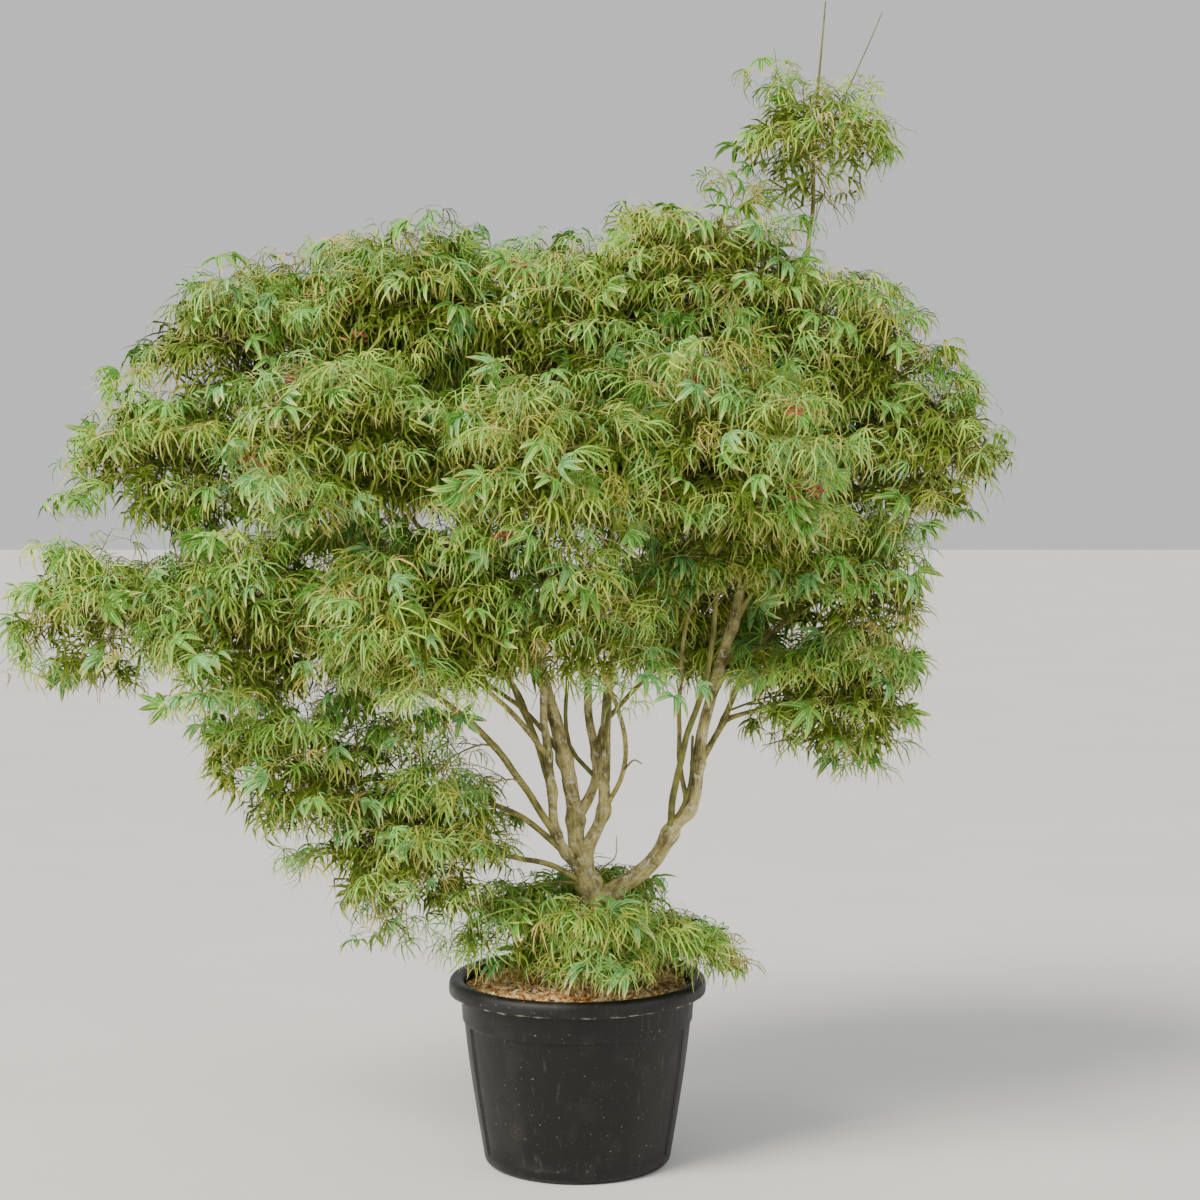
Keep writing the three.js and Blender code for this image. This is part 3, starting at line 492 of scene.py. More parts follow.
# %% Slight shoots
# radius at the foot and the tip, way points
SLIGHT_SHOOTS = [
    (6, 4, [(46, 28, 900), (-16, 20, 974), (-28, 14, 1055), (-23, 6, 1150), (-44, 0, 1260)]),
    (5, 3, [(64, -12, 866), (60, -6, 940), (70, 0, 1037), (81, 6, 1200), (95, 10, 1364)]),
    (4, 3, [(-66, -26, 890), (-103, -40, 1014), (-135, -46, 1081), (-166, -60, 1180)]),
    (5, 3.5, [(214, -20, 780), (238, -34, 826), (262, -40, 900), (268, -44, 1010)]),
    (2.2, 0.9, [(40, -8, 662), (62, -20, 700), (88, -26, 722), (92, -30, 775)]),
    (3.8, 2.4, [(30, -10, 652), (-40, -40, 668), (-110, -60, 660)]),
    (3, 1.6, [(352, 16, 1062), (430, 0, 1092), (519, -14, 1108)]),
    (3, 1.6, [(394, 22, 1140), (450, 6, 1168), (519, -6, 1186)]),
    (2.6, 1.4, [(110, -60, 935), (132, -70, 958), (150, -76, 950)]),
    (2.4, 0.9, [(560, 0, 2380), (622, -16, 2500), (672, -20, 2610), (698, -22, 2672)]),
    (2.2, 0.8, [(520, 0, 2330), (470, -10, 2480), (452, -12, 2590)]),
]
SHOOT_STEPS = 12
extra_heap = Heap()
for foot, tip, way_points in SLIGHT_SHOOTS:
    shares = np.linspace(0, 1, SHOOT_STEPS)
    extra_heap.add(*tube(Path(way_points).at(shares), np.linspace(foot, tip, SHOOT_STEPS), 6))
print("slight shoots:", len(SLIGHT_SHOOTS))

# %% [markdown]
# ## Twigs
# Every mass is grown by the same rule as its solid: one stem runs from the limb's tip through the mass, and
# twigs leave it all round, each turned by the golden angle from the last, so that they never line up. Here the
# rule is carried on: each twig arches over, forks into side twigs, and bears leaves in opposite pairs.

# %% Growing rule
GOLDEN_ANGLE = math.radians(137.508)
TOP_HEIGHT = 0.85
FOOT_HEIGHT = -0.85
LEVEL_TWIG = 3  # the nearly level twig of each round, which points away from the middle of the plant
MIDDLE_OF_PLANT = -60
TWIGS_A_ROUND = 7
STEM_REACH = 0.55
STEM_LEAD = 14
TINTS = ["yellow_green", "mid_green", "blue_green", "deep_green", "olive_green"]
LEAF_SPRAYS = {"tint": [], "at": [], "heading": [], "small": [], "mass": [], "tip": [], "stray": []}


def turned(v, angle):
    """A vector turned about the vertical."""
    c, s = math.cos(angle), math.sin(angle)
    return np.array([v[0] * c - v[1] * s, v[0] * s + v[1] * c, v[2]])


def arch(start, leave, reach, end, count):
    """A cubic curve from start to end that leaves and reaches them along two directions."""
    t = np.linspace(0, 1, count)[:, None]
    second, third = start + leave, end - reach
    return ((1 - t) ** 3 * start + 3 * (1 - t) ** 2 * t * second + 3 * (1 - t) * t ** 2 * third + t ** 3 * end)


def mass_stem(number, limb, share):
    """The stem of a mass, from its limb through the mass's middle."""
    middle = MIDDLES[number]
    start = limb["path"].at(1 if share is None else share)
    points = [start]
    if share is None:
        heading = limb["path"].heading(1)
        points = [start + heading * GAP, start + heading * (GAP + STEM_LEAD)]
    points.append(middle)
    onward = unit((middle - start) * [1, 1, 0])
    if MASSES[number][0] == "leader_tuft":
        points.append(np.array(LEADER_SHOOT_TIP, dtype=float))
    else:
        points.append(middle + onward * room_along(number, onward) * STEM_REACH)
    return Path(points)


def add_leaf_node(at, heading, tint, small, mass, tip, stray):
    for key, value in zip(LEAF_SPRAYS, (tint, at, heading, small, mass, tip, stray)):
        LEAF_SPRAYS[key].append(value)


print("turn from twig to twig in degrees:", round(math.degrees(GOLDEN_ANGLE), 1))

# %% [markdown]
# A twig rises a little where it leaves its stem and bows under its leaves towards its end. Its side twigs leave
# it left and right in turn and get shorter towards its tip. Leaves stand at every joint of both. A twig's tint
# is painted light: a high twig is more often yellow green, as painted sunlight, and a low one more often deep
# green, as painted shade.

# %% Twigs
TWIG_STEPS = 7
TWIG_RADII = (2.8, 1.2)
TWIG_WOBBLE = 3.0
SIDE_TWIGS = 6  # a stray twig bears two fewer
SIDE_TWIG_STEPS = 4
SIDE_TWIG_RADII = (1.7, 0.9)
SIDE_TWIG_LENGTH = (80, 165)
SIDE_TURN = 0.85
SIDE_LIFT = (0.05, 0.5)
SIDE_DROP = (0.1, 0.55)
SMALL_SHARE = 0.62  # the side twigs round the trunk's foot are shorter
# between these heights the tints shift: yellow green up high is painted sunlight, deep green low down is painted
# shade
PAINTED_SHADE_HEIGHT = 1000
PAINTED_SUN_HEIGHT = 2100


def grow_side_twig(start, heading, length, tint, small, mass, stray, random, heap):
    """A side twig that lifts off its twig and bows, and the places of its leaves."""
    lift = random.uniform(*SIDE_LIFT)
    drop = random.uniform(*SIDE_DROP)
    end = start + heading * length + UP * length * (lift - drop) * 0.6
    leave, reach = unit(heading + UP * lift) * length * 0.4, unit(heading - UP * drop) * length * 0.35
    points = arch(start, leave, reach, end, SIDE_TWIG_STEPS + 1)
    heap.add(*tube(points, np.linspace(*SIDE_TWIG_RADII, SIDE_TWIG_STEPS + 1), 3))
    for k in range(2, SIDE_TWIG_STEPS + 1):
        way = unit(points[k] - points[k - 1])
        add_leaf_node(points[k], way, tint, small, mass, k == SIDE_TWIG_STEPS, stray)


def spray_tint(height, random):
    """The tint of a twig's leaves, as painted light: the higher it is, the more often yellow green for painted
    sunlight, and the less often deep green for painted shade.
    """
    high = np.clip((height - PAINTED_SHADE_HEIGHT) / (PAINTED_SUN_HEIGHT - PAINTED_SHADE_HEIGHT), 0, 1)
    weights = np.array([0.2 + 0.15 * high, 0.26, 0.18, 0.2 - 0.12 * high, 0.16])
    return int(random.choice(len(TINTS), p=weights / weights.sum()))


def grow_twig(start, first_way, end, hand, small, mass, stray, random, heap, side_share=1.0):
    """An arching twig with its side twigs, and the places of the leaves along them."""
    way = end - start
    length = np.linalg.norm(way)
    leave = unit(0.5 * first_way + unit(way) + UP * 0.35) * length * 0.38
    reach = unit(unit(way) * [1, 1, 0.3] - UP * 0.12) * length * 0.33
    points = arch(start, leave, reach, end, TWIG_STEPS + 1)
    points[1:-1] += random.normal(0, TWIG_WOBBLE, (TWIG_STEPS - 1, 3))
    heap.add(*tube(points, np.linspace(*TWIG_RADII, TWIG_STEPS + 1), 4))
    tint = spray_tint(end[2], random)
    for k, place in enumerate(np.linspace(0.2, 0.88, SIDE_TWIGS - 2 * stray)):
        joint = int(place * TWIG_STEPS)
        step = points[joint + 1] - points[joint]
        root = points[joint] + step * (place * TWIG_STEPS - joint)
        heading = unit(turned(unit(step), SIDE_TURN * (-1) ** (hand + k)))
        shorter = SMALL_SHARE if small else side_share
        side_length = random.uniform(*SIDE_TWIG_LENGTH) * shorter * (1.1 - 0.4 * place)
        grow_side_twig(root, heading, side_length, tint, small, mass, stray, random, heap)
    for k in range(1, TWIG_STEPS + 1):
        add_leaf_node(points[k], unit(points[k] - points[k - 1]), tint, small, mass, k == TWIG_STEPS, stray)


print("leaf joints on a full twig:", TWIG_STEPS + SIDE_TWIGS * (SIDE_TWIG_STEPS - 1))

# %% [markdown]
# A mass gets its twigs in rounds, from its top down, and each ends near the skin of the mass's space. A few
# stray twigs poke out past the rest. Both ends of the tree are open sprays, so there the twigs are fewer, and on
# the outer side more of them stray. The twigs round the trunk's foot are few, and bow down over the mulch.

# %% Masses grown
TWIGS_PER_MASS = 20
TWIGS_PER_SKIRT = 9
TWIGS_PER_TUFT = 10
TWIGS_AT_SIDES = 17
STRAY_SHARE = 0.2  # twigs that poke out past the rest, thinly leaved
OUTER_STRAY_SHARE = 0.45  # the same on the outer side of the masses at both ends, where the outline is open
OUTER_TURN = 0.25
REACH = (0.5, 0.95)  # where a twig ends, as a share of the way to the skin of the mass's space
STRAY_REACH = (0.95, 1.15)
OUTER_REACH = 0.62
STRAY_SIDE_SHARE = 0.6
SIDE_MASSES = ("top_left_tip", "left_shoulder", "far_left", "lower_left", "low_left_tip", "right_shoulder",
               "right_tip", "right_low", "right_lower")
LOW_CORNER, HIGH_CORNER = np.array(CAD_BOX) / MM
TWIG_MARGIN = 50
OVERLAP = 1.3
SKIRT_RISE = 8
SKIRT_SAG = 42
SKIRT_STEM_RADIUS = 5.0
STEM_STEPS = 14
STEM_TIP_RADIUS = 2.4
TUFT_STEM_TIP_RADIUS = 1.6
TUFT_REACH = 0.84
LOWEST_TWIG = 0.08  # as a share of the stem
HIGHEST_TWIG = 0.98
HIGHEST_IN_TUFT = 0.62
FIRST_SEED = 1210


def grow_mass(number, heap, stem_heap):
    """The stem and all twigs of one mass."""
    name, limb_name, share, _, _ = MASSES[number]
    random = np.random.default_rng(FIRST_SEED + number)
    stem = mass_stem(number, limbs[limb_name], share)
    skirt, tuft, at_side = share is not None, name == "leader_tuft", name in SIDE_MASSES
    foot = SKIRT_STEM_RADIUS if skirt else limbs[limb_name]["tip"]
    tip = TUFT_STEM_TIP_RADIUS if tuft else STEM_TIP_RADIUS
    stem_heap.add(*tube(stem.at(np.linspace(0, 1, STEM_STEPS)), np.linspace(foot, tip, STEM_STEPS), 6))
    turn = math.atan2(MIDDLES[number, 1], MIDDLES[number, 0] - MIDDLE_OF_PLANT) - LEVEL_TWIG * GOLDEN_ANGLE
    twigs = TWIGS_PER_SKIRT if skirt else TWIGS_PER_TUFT if tuft else TWIGS_AT_SIDES if at_side else TWIGS_PER_MASS
    for k in range(twigs):
        height = TOP_HEIGHT + (FOOT_HEIGHT - TOP_HEIGHT) * (k % TWIGS_A_ROUND) / (TWIGS_A_ROUND - 1)
        around = turn + k * GOLDEN_ANGLE
        level = math.sqrt(1 - height ** 2)
        outward = np.array([math.cos(around) * level, math.sin(around) * level, height])
        at = random.uniform(LOWEST_TWIG, HIGHEST_IN_TUFT if tuft else HIGHEST_TWIG)
        outer = at_side and outward[0] * np.sign(MIDDLES[number, 0] - MIDDLE_OF_PLANT) > OUTER_TURN
        stray = bool(random.random() < (OUTER_STRAY_SHARE if outer else STRAY_SHARE)) and not skirt
        if stray:
            reach = random.uniform(*STRAY_REACH)
        else:
            reach = random.uniform(*REACH) * (OUTER_REACH if outer else 1)
        reach *= TUFT_REACH if tuft else 1
        end = MIDDLES[number] + outward * room_along(number, outward, OVERLAP) * reach
        if skirt:
            end = end + UP * (SKIRT_RISE if height > 0 else -SKIRT_SAG)
        end = np.clip(end, LOW_CORNER + TWIG_MARGIN, HIGH_CORNER - TWIG_MARGIN)
        for way_out, distance, flattened in FLAT_SIDES:
            if name in flattened:
                end = end - np.array(way_out) * max(0, end @ way_out - distance + TWIG_MARGIN)
        grow_twig(stem.at(at), stem.heading(at), end, k, skirt, number, stray, random, heap,
                  STRAY_SIDE_SHARE if stray else 1.0)


twig_heap, core_heap = Heap(), Heap()
for number in range(len(MASSES)):
    grow_mass(number, twig_heap, core_heap)
print("leaf nodes on the masses:", len(LEAF_SPRAYS["at"]))

# %% [markdown]
# Loose twigs fill the spaces between the masses. Most of them hang from the boughs, two reach over the pot's
# rim, and each bears leaves like those of the nearest mass.

# %% Loose twigs
HANGING_SEED = 1300
# limb, share along it, the twig's end, the nearest mass
HANGING_TWIGS = [
    ("left_long_bough", 0.14, (-236, -140, 905), "lower_left"),
    ("left_long_bough", 0.24, (-335, -125, 945), "lower_left"),
    ("left_long_bough", 0.34, (-400, -150, 1040), "lower_left"),
    ("lower_left_bough", 0.62, (-300, -150, 800), "low_left_tip"),
    ("trunk", 0.16, (16, -306, 506), "skirt_front"),
    ("trunk", 0.2, (104, -300, 500), "skirt_front"),
    ("upper_left_bough", 0.46, (-330, -170, 1475), "low_front_left"),
    ("upper_left_bough", 0.52, (-430, 130, 1455), "back_low_left"),
    ("upper_left_bough", 0.6, (-520, -170, 1470), "left_low"),
    ("upper_left_bough", 0.72, (-650, 70, 1475), "left_low"),
    ("back_left_bough", 0.7, (-290, 190, 1440), "back_low_left"),
    ("centre_stem", 0.82, (-222, -200, 1985), "top_left"),
    ("centre_stem", 0.74, (-215, -80, 1900), "top_centre"),
    ("centre_stem", 0.7, (-235, 190, 1900), "top_left"),
    ("centre_stem", 0.9, (-560, -120, 2000), "top_left"),
    ("top_left_bough", 0.9, (-650, -90, 1960), "top_left_tip"),
]
mass_names = [mass[0] for mass in MASSES]
hanging_random = np.random.default_rng(HANGING_SEED)
for hand, (limb_name, share, end, mass_name) in enumerate(HANGING_TWIGS):
    trail = limbs[limb_name]["path"]
    grow_twig(trail.at(share), trail.heading(share), np.array(end, dtype=float), hand,
              mass_name.startswith("skirt"), mass_names.index(mass_name), True, hanging_random, twig_heap)
print("leaf nodes:", len(LEAF_SPRAYS["at"]))

# %% [markdown]
# ## Leaves
# Most leaves are cut almost to the stalk into five or seven narrow, pointed lobes that hang like tassels. About
# one in eight is broader, flatter and bluer. A narrow leaf is a fan of twisting straps, which widen to their
# middles and droop to their tips. A broad one's straps are folded along a midrib, and the leaves deep inside,
# which are hardly seen, get plainer straps and a darker olive green, which is painted shade. A few variants are
# made of each, and each leaf takes one.

# %% Leaf shapes
FINE_LOBE = ((0.0, 0.25, 0.5, 0.76, 1.0), (-0.15, 0.25, 0.7, 1.0), (0.4, 0.95, 1.0, 0.7))
PLAIN_LOBE = ((0.0, 0.5, 1.0), (0.1, 0.85), (0.6, 1.0))


def leaf_shape(random, lobes, spread, width, droop, columns, lobe=FINE_LOBE):
    """One leaf, one unit long: heading +X, its side +Y and its face +Z, with uv across and along a lobe.

    Two columns of points make a flat, twisting strap, and three a lobe folded along its midrib. A lobe is given
    by the places of its rows along it, how far it has bent by each, and how wide it is there.
    """
    rows, bends, widths = lobe
    points, triangles, uv = [], [], []
    for k in range(lobes):
        along = 2 * k / (lobes - 1) - 1
        angle = math.radians(spread * along + random.uniform(-7, 7))
        reach = (1 - 0.4 * along ** 2) * random.uniform(0.85, 1.08)
        heading = np.array([math.cos(angle), math.sin(angle), 0])
        side = np.array([-math.sin(angle), math.cos(angle), 0])
        curl = droop * random.uniform(0.6, 1.4)
        sway = random.uniform(-0.2, 0.2) * (0.4 if columns == 3 else 1)
        twist = random.uniform(-1.2, 1.2)
        start = len(points)
        middle = np.zeros(3)
        for row, t in enumerate(rows[:-1]):
            half = width * widths[row] * (1 - 0.15 * abs(along))
            turn = twist * t if columns == 2 else 0
            lean = side * math.cos(turn) + UP * math.sin(turn)
            fold = UP * half * 0.5 * (columns - 2)
            for place in np.linspace(-1, 1, columns):
                points.append(middle + lean * half * place + fold * abs(place))
                uv.append((0.5 + place / 2, t))
            step = (rows[row + 1] - t) * reach
            dip = curl * bends[row]
            middle = middle + (heading * math.cos(dip) - UP * math.sin(dip) + side * sway * t) * step
        points.append(middle)
        uv.append((0.5, 1))
        for row in range(len(rows) - 2):
            for column in range(columns - 1):
                a = start + row * columns + column
                triangles += [(a, a + columns, a + columns + 1), (a, a + columns + 1, a + 1)]
        last = start + (len(rows) - 2) * columns
        triangles += [(last + column, last + columns, last + column + 1) for column in range(columns - 1)]
    return np.array(points), np.array(triangles), np.array(uv)


SHAPE_SEED = 77
shape_random = np.random.default_rng(SHAPE_SEED)
NARROW_FANS = ((5, 50), (5, 72), (7, 86), (5, 62), (7, 70), (5, 92), (5, 40), (7, 98))  # lobes, spread in degrees
INNER_FANS = ((5, 50), (5, 68), (5, 84), (5, 96))
BROAD_FANS = ((5, 100), (5, 80), (5, 66))
NARROW_SHAPES = [leaf_shape(shape_random, *fan, width=0.021, droop=1.6, columns=2) for fan in NARROW_FANS]
INNER_SHAPES = [leaf_shape(shape_random, *fan, width=0.042, droop=1.3, columns=2, lobe=PLAIN_LOBE)
                for fan in INNER_FANS]
BROAD_SHAPES = [leaf_shape(shape_random, *fan, width=0.1, droop=0.8, columns=3) for fan in BROAD_FANS]
print("leaf shapes:", len(NARROW_SHAPES), "narrow,", len(INNER_SHAPES), "plain,", len(BROAD_SHAPES), "broad")

# %% [markdown]
# Each pair of leaves stands on thin stalks either side of a twig, and a twig's tip bears a third. A stalk leaves
# sideways, bends over, and the blade hangs from its end. All are worked out at once as arrays.

# %% Leaves on their stalks
LEAF_LENGTH = (66, 118)
BROAD_LENGTH = (58, 92)
STALK_LENGTH = (30, 70)
STALK_RISE = (-0.05, 0.75)
SMALL_STALK_SHARE = 0.75
LEAF_FALL = (-0.2, 0.8)  # how steeply a blade hangs, in radians
BROAD_FALL = (0.1, 0.9)
LEAF_TURN = 0.45
LEAF_ROLL = 0.6
BROAD_SHARE = 0.12
OWN_TINT_SHARE = 0.6  # leaves that take a tint of their own, and not their spray's
TINT_SHARES = (0.2, 0.24, 0.24, 0.16, 0.16)
LEAF_SEED = 4100
leaf_random = np.random.default_rng(LEAF_SEED)
repeats = np.where(np.array(LEAF_SPRAYS["tip"]), 3, 2)
node = np.repeat(np.arange(len(repeats)), repeats)
order = np.concatenate([np.arange(r) for r in repeats])
at, heading, small, tint, mass, stray = (np.array(LEAF_SPRAYS[key])[node] for key in (
    "at", "heading", "small", "tint", "mass", "stray"))
count = len(node)
own = leaf_random.random(count) < OWN_TINT_SHARE
tint = np.where(own, leaf_random.choice(len(TINTS), count, p=TINT_SHARES), tint)

level = unit(heading * [1, 1, 0] + leaf_random.normal(0, 0.05, (count, 3)) * [1, 1, 0])
side = np.stack([-level[:, 1], level[:, 0], np.zeros(count)], -1)
way = np.where(order == 0, 1.0, np.where(order == 1, -1.0, 0.0))
swing = leaf_random.normal(0, 0.35, count)
outward = unit(side * way[:, None] * 0.9 + level * (0.55 + 0.5 * (order == 2) + swing * 0.4)[:, None])
stalk = leaf_random.uniform(*STALK_LENGTH, count) * np.where(small, SMALL_STALK_SHARE, 1)
rise = leaf_random.uniform(*STALK_RISE, count)
bend = at + (outward * 0.62 + UP * rise[:, None] * 0.8) * stalk[:, None]
foot = at + (outward + UP * (rise * 0.7 - 0.28)[:, None]) * stalk[:, None]

broad = leaf_random.random(count) < BROAD_SHARE
fall = np.where(broad, leaf_random.uniform(*BROAD_FALL, count), leaf_random.uniform(*LEAF_FALL, count))
flat = unit(outward * [1, 1, 0] + leaf_random.normal(0, LEAF_TURN, (count, 3)) * [1, 1, 0])
blade = flat * np.cos(fall)[:, None] - UP * np.sin(fall)[:, None]
roll = leaf_random.normal(0, LEAF_ROLL, count)
across = np.stack([-flat[:, 1], flat[:, 0], np.zeros(count)], -1)
face = np.cross(blade, across)
blade_side = across * np.cos(roll)[:, None] + face * np.sin(roll)[:, None]
face = np.cross(blade, blade_side)
size = np.where(broad, leaf_random.uniform(*BROAD_LENGTH, count), leaf_random.uniform(*LEAF_LENGTH, count))
print("places for leaves:", count)

# %% [markdown]
# Not every leaf is made. One whose tip would leave its mass's space, the plant's own box or the outline of the
# photograph is left out, and so is one that would sink into the mulch or the pot. Where the tree is thin or
# open, a share of the leaves is left out as well.

# %% Leaves that are kept
POT_TOP = 440
MULCH_TOP = 422
RIM_RADIUS = 318
RIM_MARGIN = 12
MOUTH_RADIUS = 250
LEAF_SPARE = 25
FURTHEST = 1.12  # how far from its mass's middle a leaf may hang, as a share of the mass's half size
FURTHEST_STRAY = 1.6
FURTHEST_SMALL = 1.8
# the inner leaves also get a darker olive green, which is painted shade
INNER_REACH = 0.7  # leaves whose stalk ends further in than this are hardly seen, and take a plainer shape
DRIED_SHARE = 0.04
SIDE_INNER_SHARE = 0.6  # inner leaves that are kept in the masses at both ends, which let the light through
SKIRT_SHARE = 0.78  # leaves that are kept round the trunk's foot, where the plant is thin
OPEN_MASSES = {"leader_tuft": 0.62, "low_front_centre": 0.5, "low_front_right": 0.58}  # and where it is open
tips = foot + (blade * 0.6 - UP * 0.5) * size[:, None]
reach = np.linalg.norm((tips - MIDDLES[mass]) / HALVES[mass], axis=1)
from_axis = np.hypot(tips[:, 0], tips[:, 1])
in_mulch = tips[:, 2] < np.where(from_axis < MOUTH_RADIUS, MULCH_TOP, POT_TOP + RIM_MARGIN)
in_pot = in_mulch & (from_axis < RIM_RADIUS)
in_box = np.ones(count, dtype=bool)
for along, aside in ((0.95, 0), (0.6, 0.65), (0.6, -0.65)):
    end = foot + (blade * along + blade_side * aside) * size[:, None]
    in_box &= ((end > LOW_CORNER - LEAF_SPARE) & (end < HIGH_CORNER + LEAF_SPARE)).all(axis=1)
in_outline = np.ones(count, dtype=bool)
for way_out, distance, flattened in FLAT_SIDES:
    for name in flattened:
        in_outline &= (mass != mass_names.index(name)) | (tips @ way_out < distance)
furthest = np.where(small, FURTHEST_SMALL, np.where(stray, FURTHEST_STRAY, FURTHEST))
kept = (reach < furthest) & in_box & in_outline & ~in_pot
inner = (np.linalg.norm((foot - MIDDLES[mass]) / HALVES[mass], axis=1) < INNER_REACH) & ~small
broad &= ~inner
kept &= ~small | (leaf_random.random(count) < SKIRT_SHARE)
share_of_mass = np.array([OPEN_MASSES.get(name, 1.0) for name in mass_names])
kept &= leaf_random.random(count) < share_of_mass[mass]
at_side = np.isin(mass, [mass_names.index(name) for name in SIDE_MASSES])
kept &= ~(inner & at_side) | (leaf_random.random(count) < SIDE_INNER_SHARE)
dried = (leaf_random.random(count) < DRIED_SHARE) & ~inner & ~broad
print("leaves:", int(kept.sum()), "of", count, "with", int((kept & inner).sum()), "plain ones inside")

# %% [markdown]
# Each kind of leaf becomes one mesh with its own material, so that a spray keeps its tint and the whole crown
# takes only a few objects. The narrow leaves have five tints, and the broad ones are dealt out to two of them.

# %% Leaves joined by kind
BROAD_TINTS = {"bright": ("yellow_green", "mid_green", "olive_green"), "pale": ("blue_green", "deep_green")}


def joined_leaves(chosen, shapes):
    """All chosen leaves, each as one of the shapes, in one heap."""
    heap = Heap()
    chosen = np.nonzero(chosen)[0]
    which = leaf_random.integers(0, len(shapes), len(chosen))
    for number, (points, triangles, uv) in enumerate(shapes):
        mine = chosen[which == number]
        if len(mine) == 0:
            continue
        axes = np.stack([blade[mine], blade_side[mine], face[mine]], 1)
        placed = np.einsum("pk,nkj->npj", points, axes) * size[mine][:, None, None] + foot[mine][:, None]
        step = np.arange(len(mine))[:, None, None] * len(points)
        heap.add(placed.reshape(-1, 3), (triangles[None] + step).reshape(-1, 3), np.tile(uv, (len(mine), 1)))
    return heap


narrow = kept & ~broad & ~inner & ~dried
leaf_heaps = {}
for number, name in enumerate(TINTS):
    leaf_heaps["narrow_leaves_" + name] = joined_leaves(narrow & (tint == number), NARROW_SHAPES)
leaf_heaps["dried_leaves"] = joined_leaves(kept & dried, NARROW_SHAPES)
# the leaves deep inside get their own darker material, which is painted shade
leaf_heaps["inner_leaves_painted_shade"] = joined_leaves(kept & inner, INNER_SHAPES)
for name, tints in BROAD_TINTS.items():
    numbers = [TINTS.index(own_tint) for own_tint in tints]
    leaf_heaps["broad_leaves_" + name] = joined_leaves(kept & broad & np.isin(tint, numbers), BROAD_SHAPES)
print("kinds of leaves:", len(leaf_heaps))

# %% [markdown]
# A leaf's stalk is as thin as a straw and seen only from near, so it is a bent ribbon without an underside.

# %% Leaf stalks
STALK_WIDTH = 0.8
STALK_PLACES = (0.0, 0.4, 0.75, 1.0)


def joined_stalks(chosen, heap):
    """Stalks as arched ribbons in three steps each, from the twig over the bend to the blade."""
    t = np.array(STALK_PLACES)[None, :, None]
    first, middle, last = (ends[chosen][:, None] for ends in (at, bend, foot))
    rows = (1 - t) ** 2 * first + 2 * t * (1 - t) * middle + t ** 2 * last
    across = np.stack([-outward[chosen][:, 1], outward[chosen][:, 0], np.zeros(len(chosen))], -1)
    ring = np.stack([UP * 0.7 - across, across - UP * 0.7], 1)
    points = rows[:, :, None] + ring[:, None] * STALK_WIDTH
    base = []
    for a in range(0, 2 * (len(STALK_PLACES) - 1), 2):
        base += [(a, a + 1, a + 3), (a, a + 3, a + 2)]
    step = np.arange(len(chosen))[:, None, None] * 2 * len(STALK_PLACES)
    uv = np.stack([np.tile([0, 1], len(STALK_PLACES)), np.repeat(STALK_PLACES, 2)], -1)
    heap.add(points.reshape(-1, 3), (np.array(base)[None] + step).reshape(-1, 3), np.tile(uv, (len(chosen), 1)))


stalk_heap = Heap()
joined_stalks(np.nonzero(kept)[0], stalk_heap)
print("leaf stalks:", int(kept.sum()))

# %% [markdown]
# Bunches of winged seeds, dried to a russet red, hang here and there in the upper part of the tree. Each is a
# pair of blunt wings on a hair-thin stalk, so a bunch is a spray of such pairs from one point of a twig.

# %% Winged seeds
SEED_BUNCHES = 56
SEED_PAIRS = 8
SEED_STALK_LENGTH = (22, 48)
SEED_STALK_BEND = 14
WING_LENGTH = 22
BUNCH_SEED = 640
WING_OUTLINE = np.array([(0, 0, 0), (0.2, 0.14, 0), (0.2, -0.1, 0.05), (0.7, 0.22, 0), (0.72, -0.12, 0.06),
                         (1, 0.08, 0)])
WING_FACES = np.array([(0, 2, 1), (1, 2, 4), (1, 4, 3), (3, 4, 5)])
SEEDED_MASSES = ["top_centre", "top_right", "top_left", "centre_front", "right_front", "left_front",
                 "back_centre", "back_right", "back_left", "right_shoulder"]


def seed_bunches(heap):
    random = np.random.default_rng(BUNCH_SEED)
    seeded = [mass_names.index(name) for name in SEEDED_MASSES]
    places = np.nonzero(kept & np.isin(mass, seeded) & (reach > 0.6) & (order == 0))[0]
    for place in random.choice(places, SEED_BUNCHES, replace=False):
        for k in range(SEED_PAIRS):
            out = unit(np.append(random.normal(0, 1, 2), -1.1))
            end = at[place] + out * random.uniform(*SEED_STALK_LENGTH)
            middle = at[place] + unit(out * [1, 1, 0.1]) * SEED_STALK_BEND
            heap.add(*tube([at[place], middle, end], [0.6, 0.5, 0.4], 3))
            spin = random.uniform(0, 2 * math.pi)
            for hand in (1, -1):
                along = unit(np.array([math.cos(spin) * hand, math.sin(spin) * hand, random.uniform(-0.7, 0.2)]))
                wide = unit(np.cross(along, [0, 0, 1]) * 0.4 + UP)
                face_way = np.cross(along, wide)
                corners = WING_OUTLINE @ np.stack([along, wide, face_way]) * WING_LENGTH + end
                heap.add(corners, WING_FACES, WING_OUTLINE[:, :2] + [0, 0.5])


seed_heap = Heap()
seed_bunches(seed_heap)
print("bunches of seeds:", SEED_BUNCHES)

# %% [markdown]
# ## Leaf materials
# A leaf's green isn't even: it is paler along the midrib, each leaf differs a little from the next, and a whole
# spray leans to yellow, blue or olive. The spray's tint is the material itself. The leaf-to-leaf change comes
# from each leaf being its own island of the mesh, and the midrib from the place across the strap. The midrib's
# cream is partly a painted highlight, the strap's edges carry a painted highlight, and its tip is pale, partly dry
# and partly a painted highlight.

# %% Leaf materials
PATCH_SIZE = 143
VEIN_SIZE = 1.11  # the net of veins, which breaks a leaf's sheen and shows only close up
# the pale cream of the lobes' tips, partly dry tissue and partly a painted highlight
DRY_TIP_AND_SHEEN = "#e6d384"


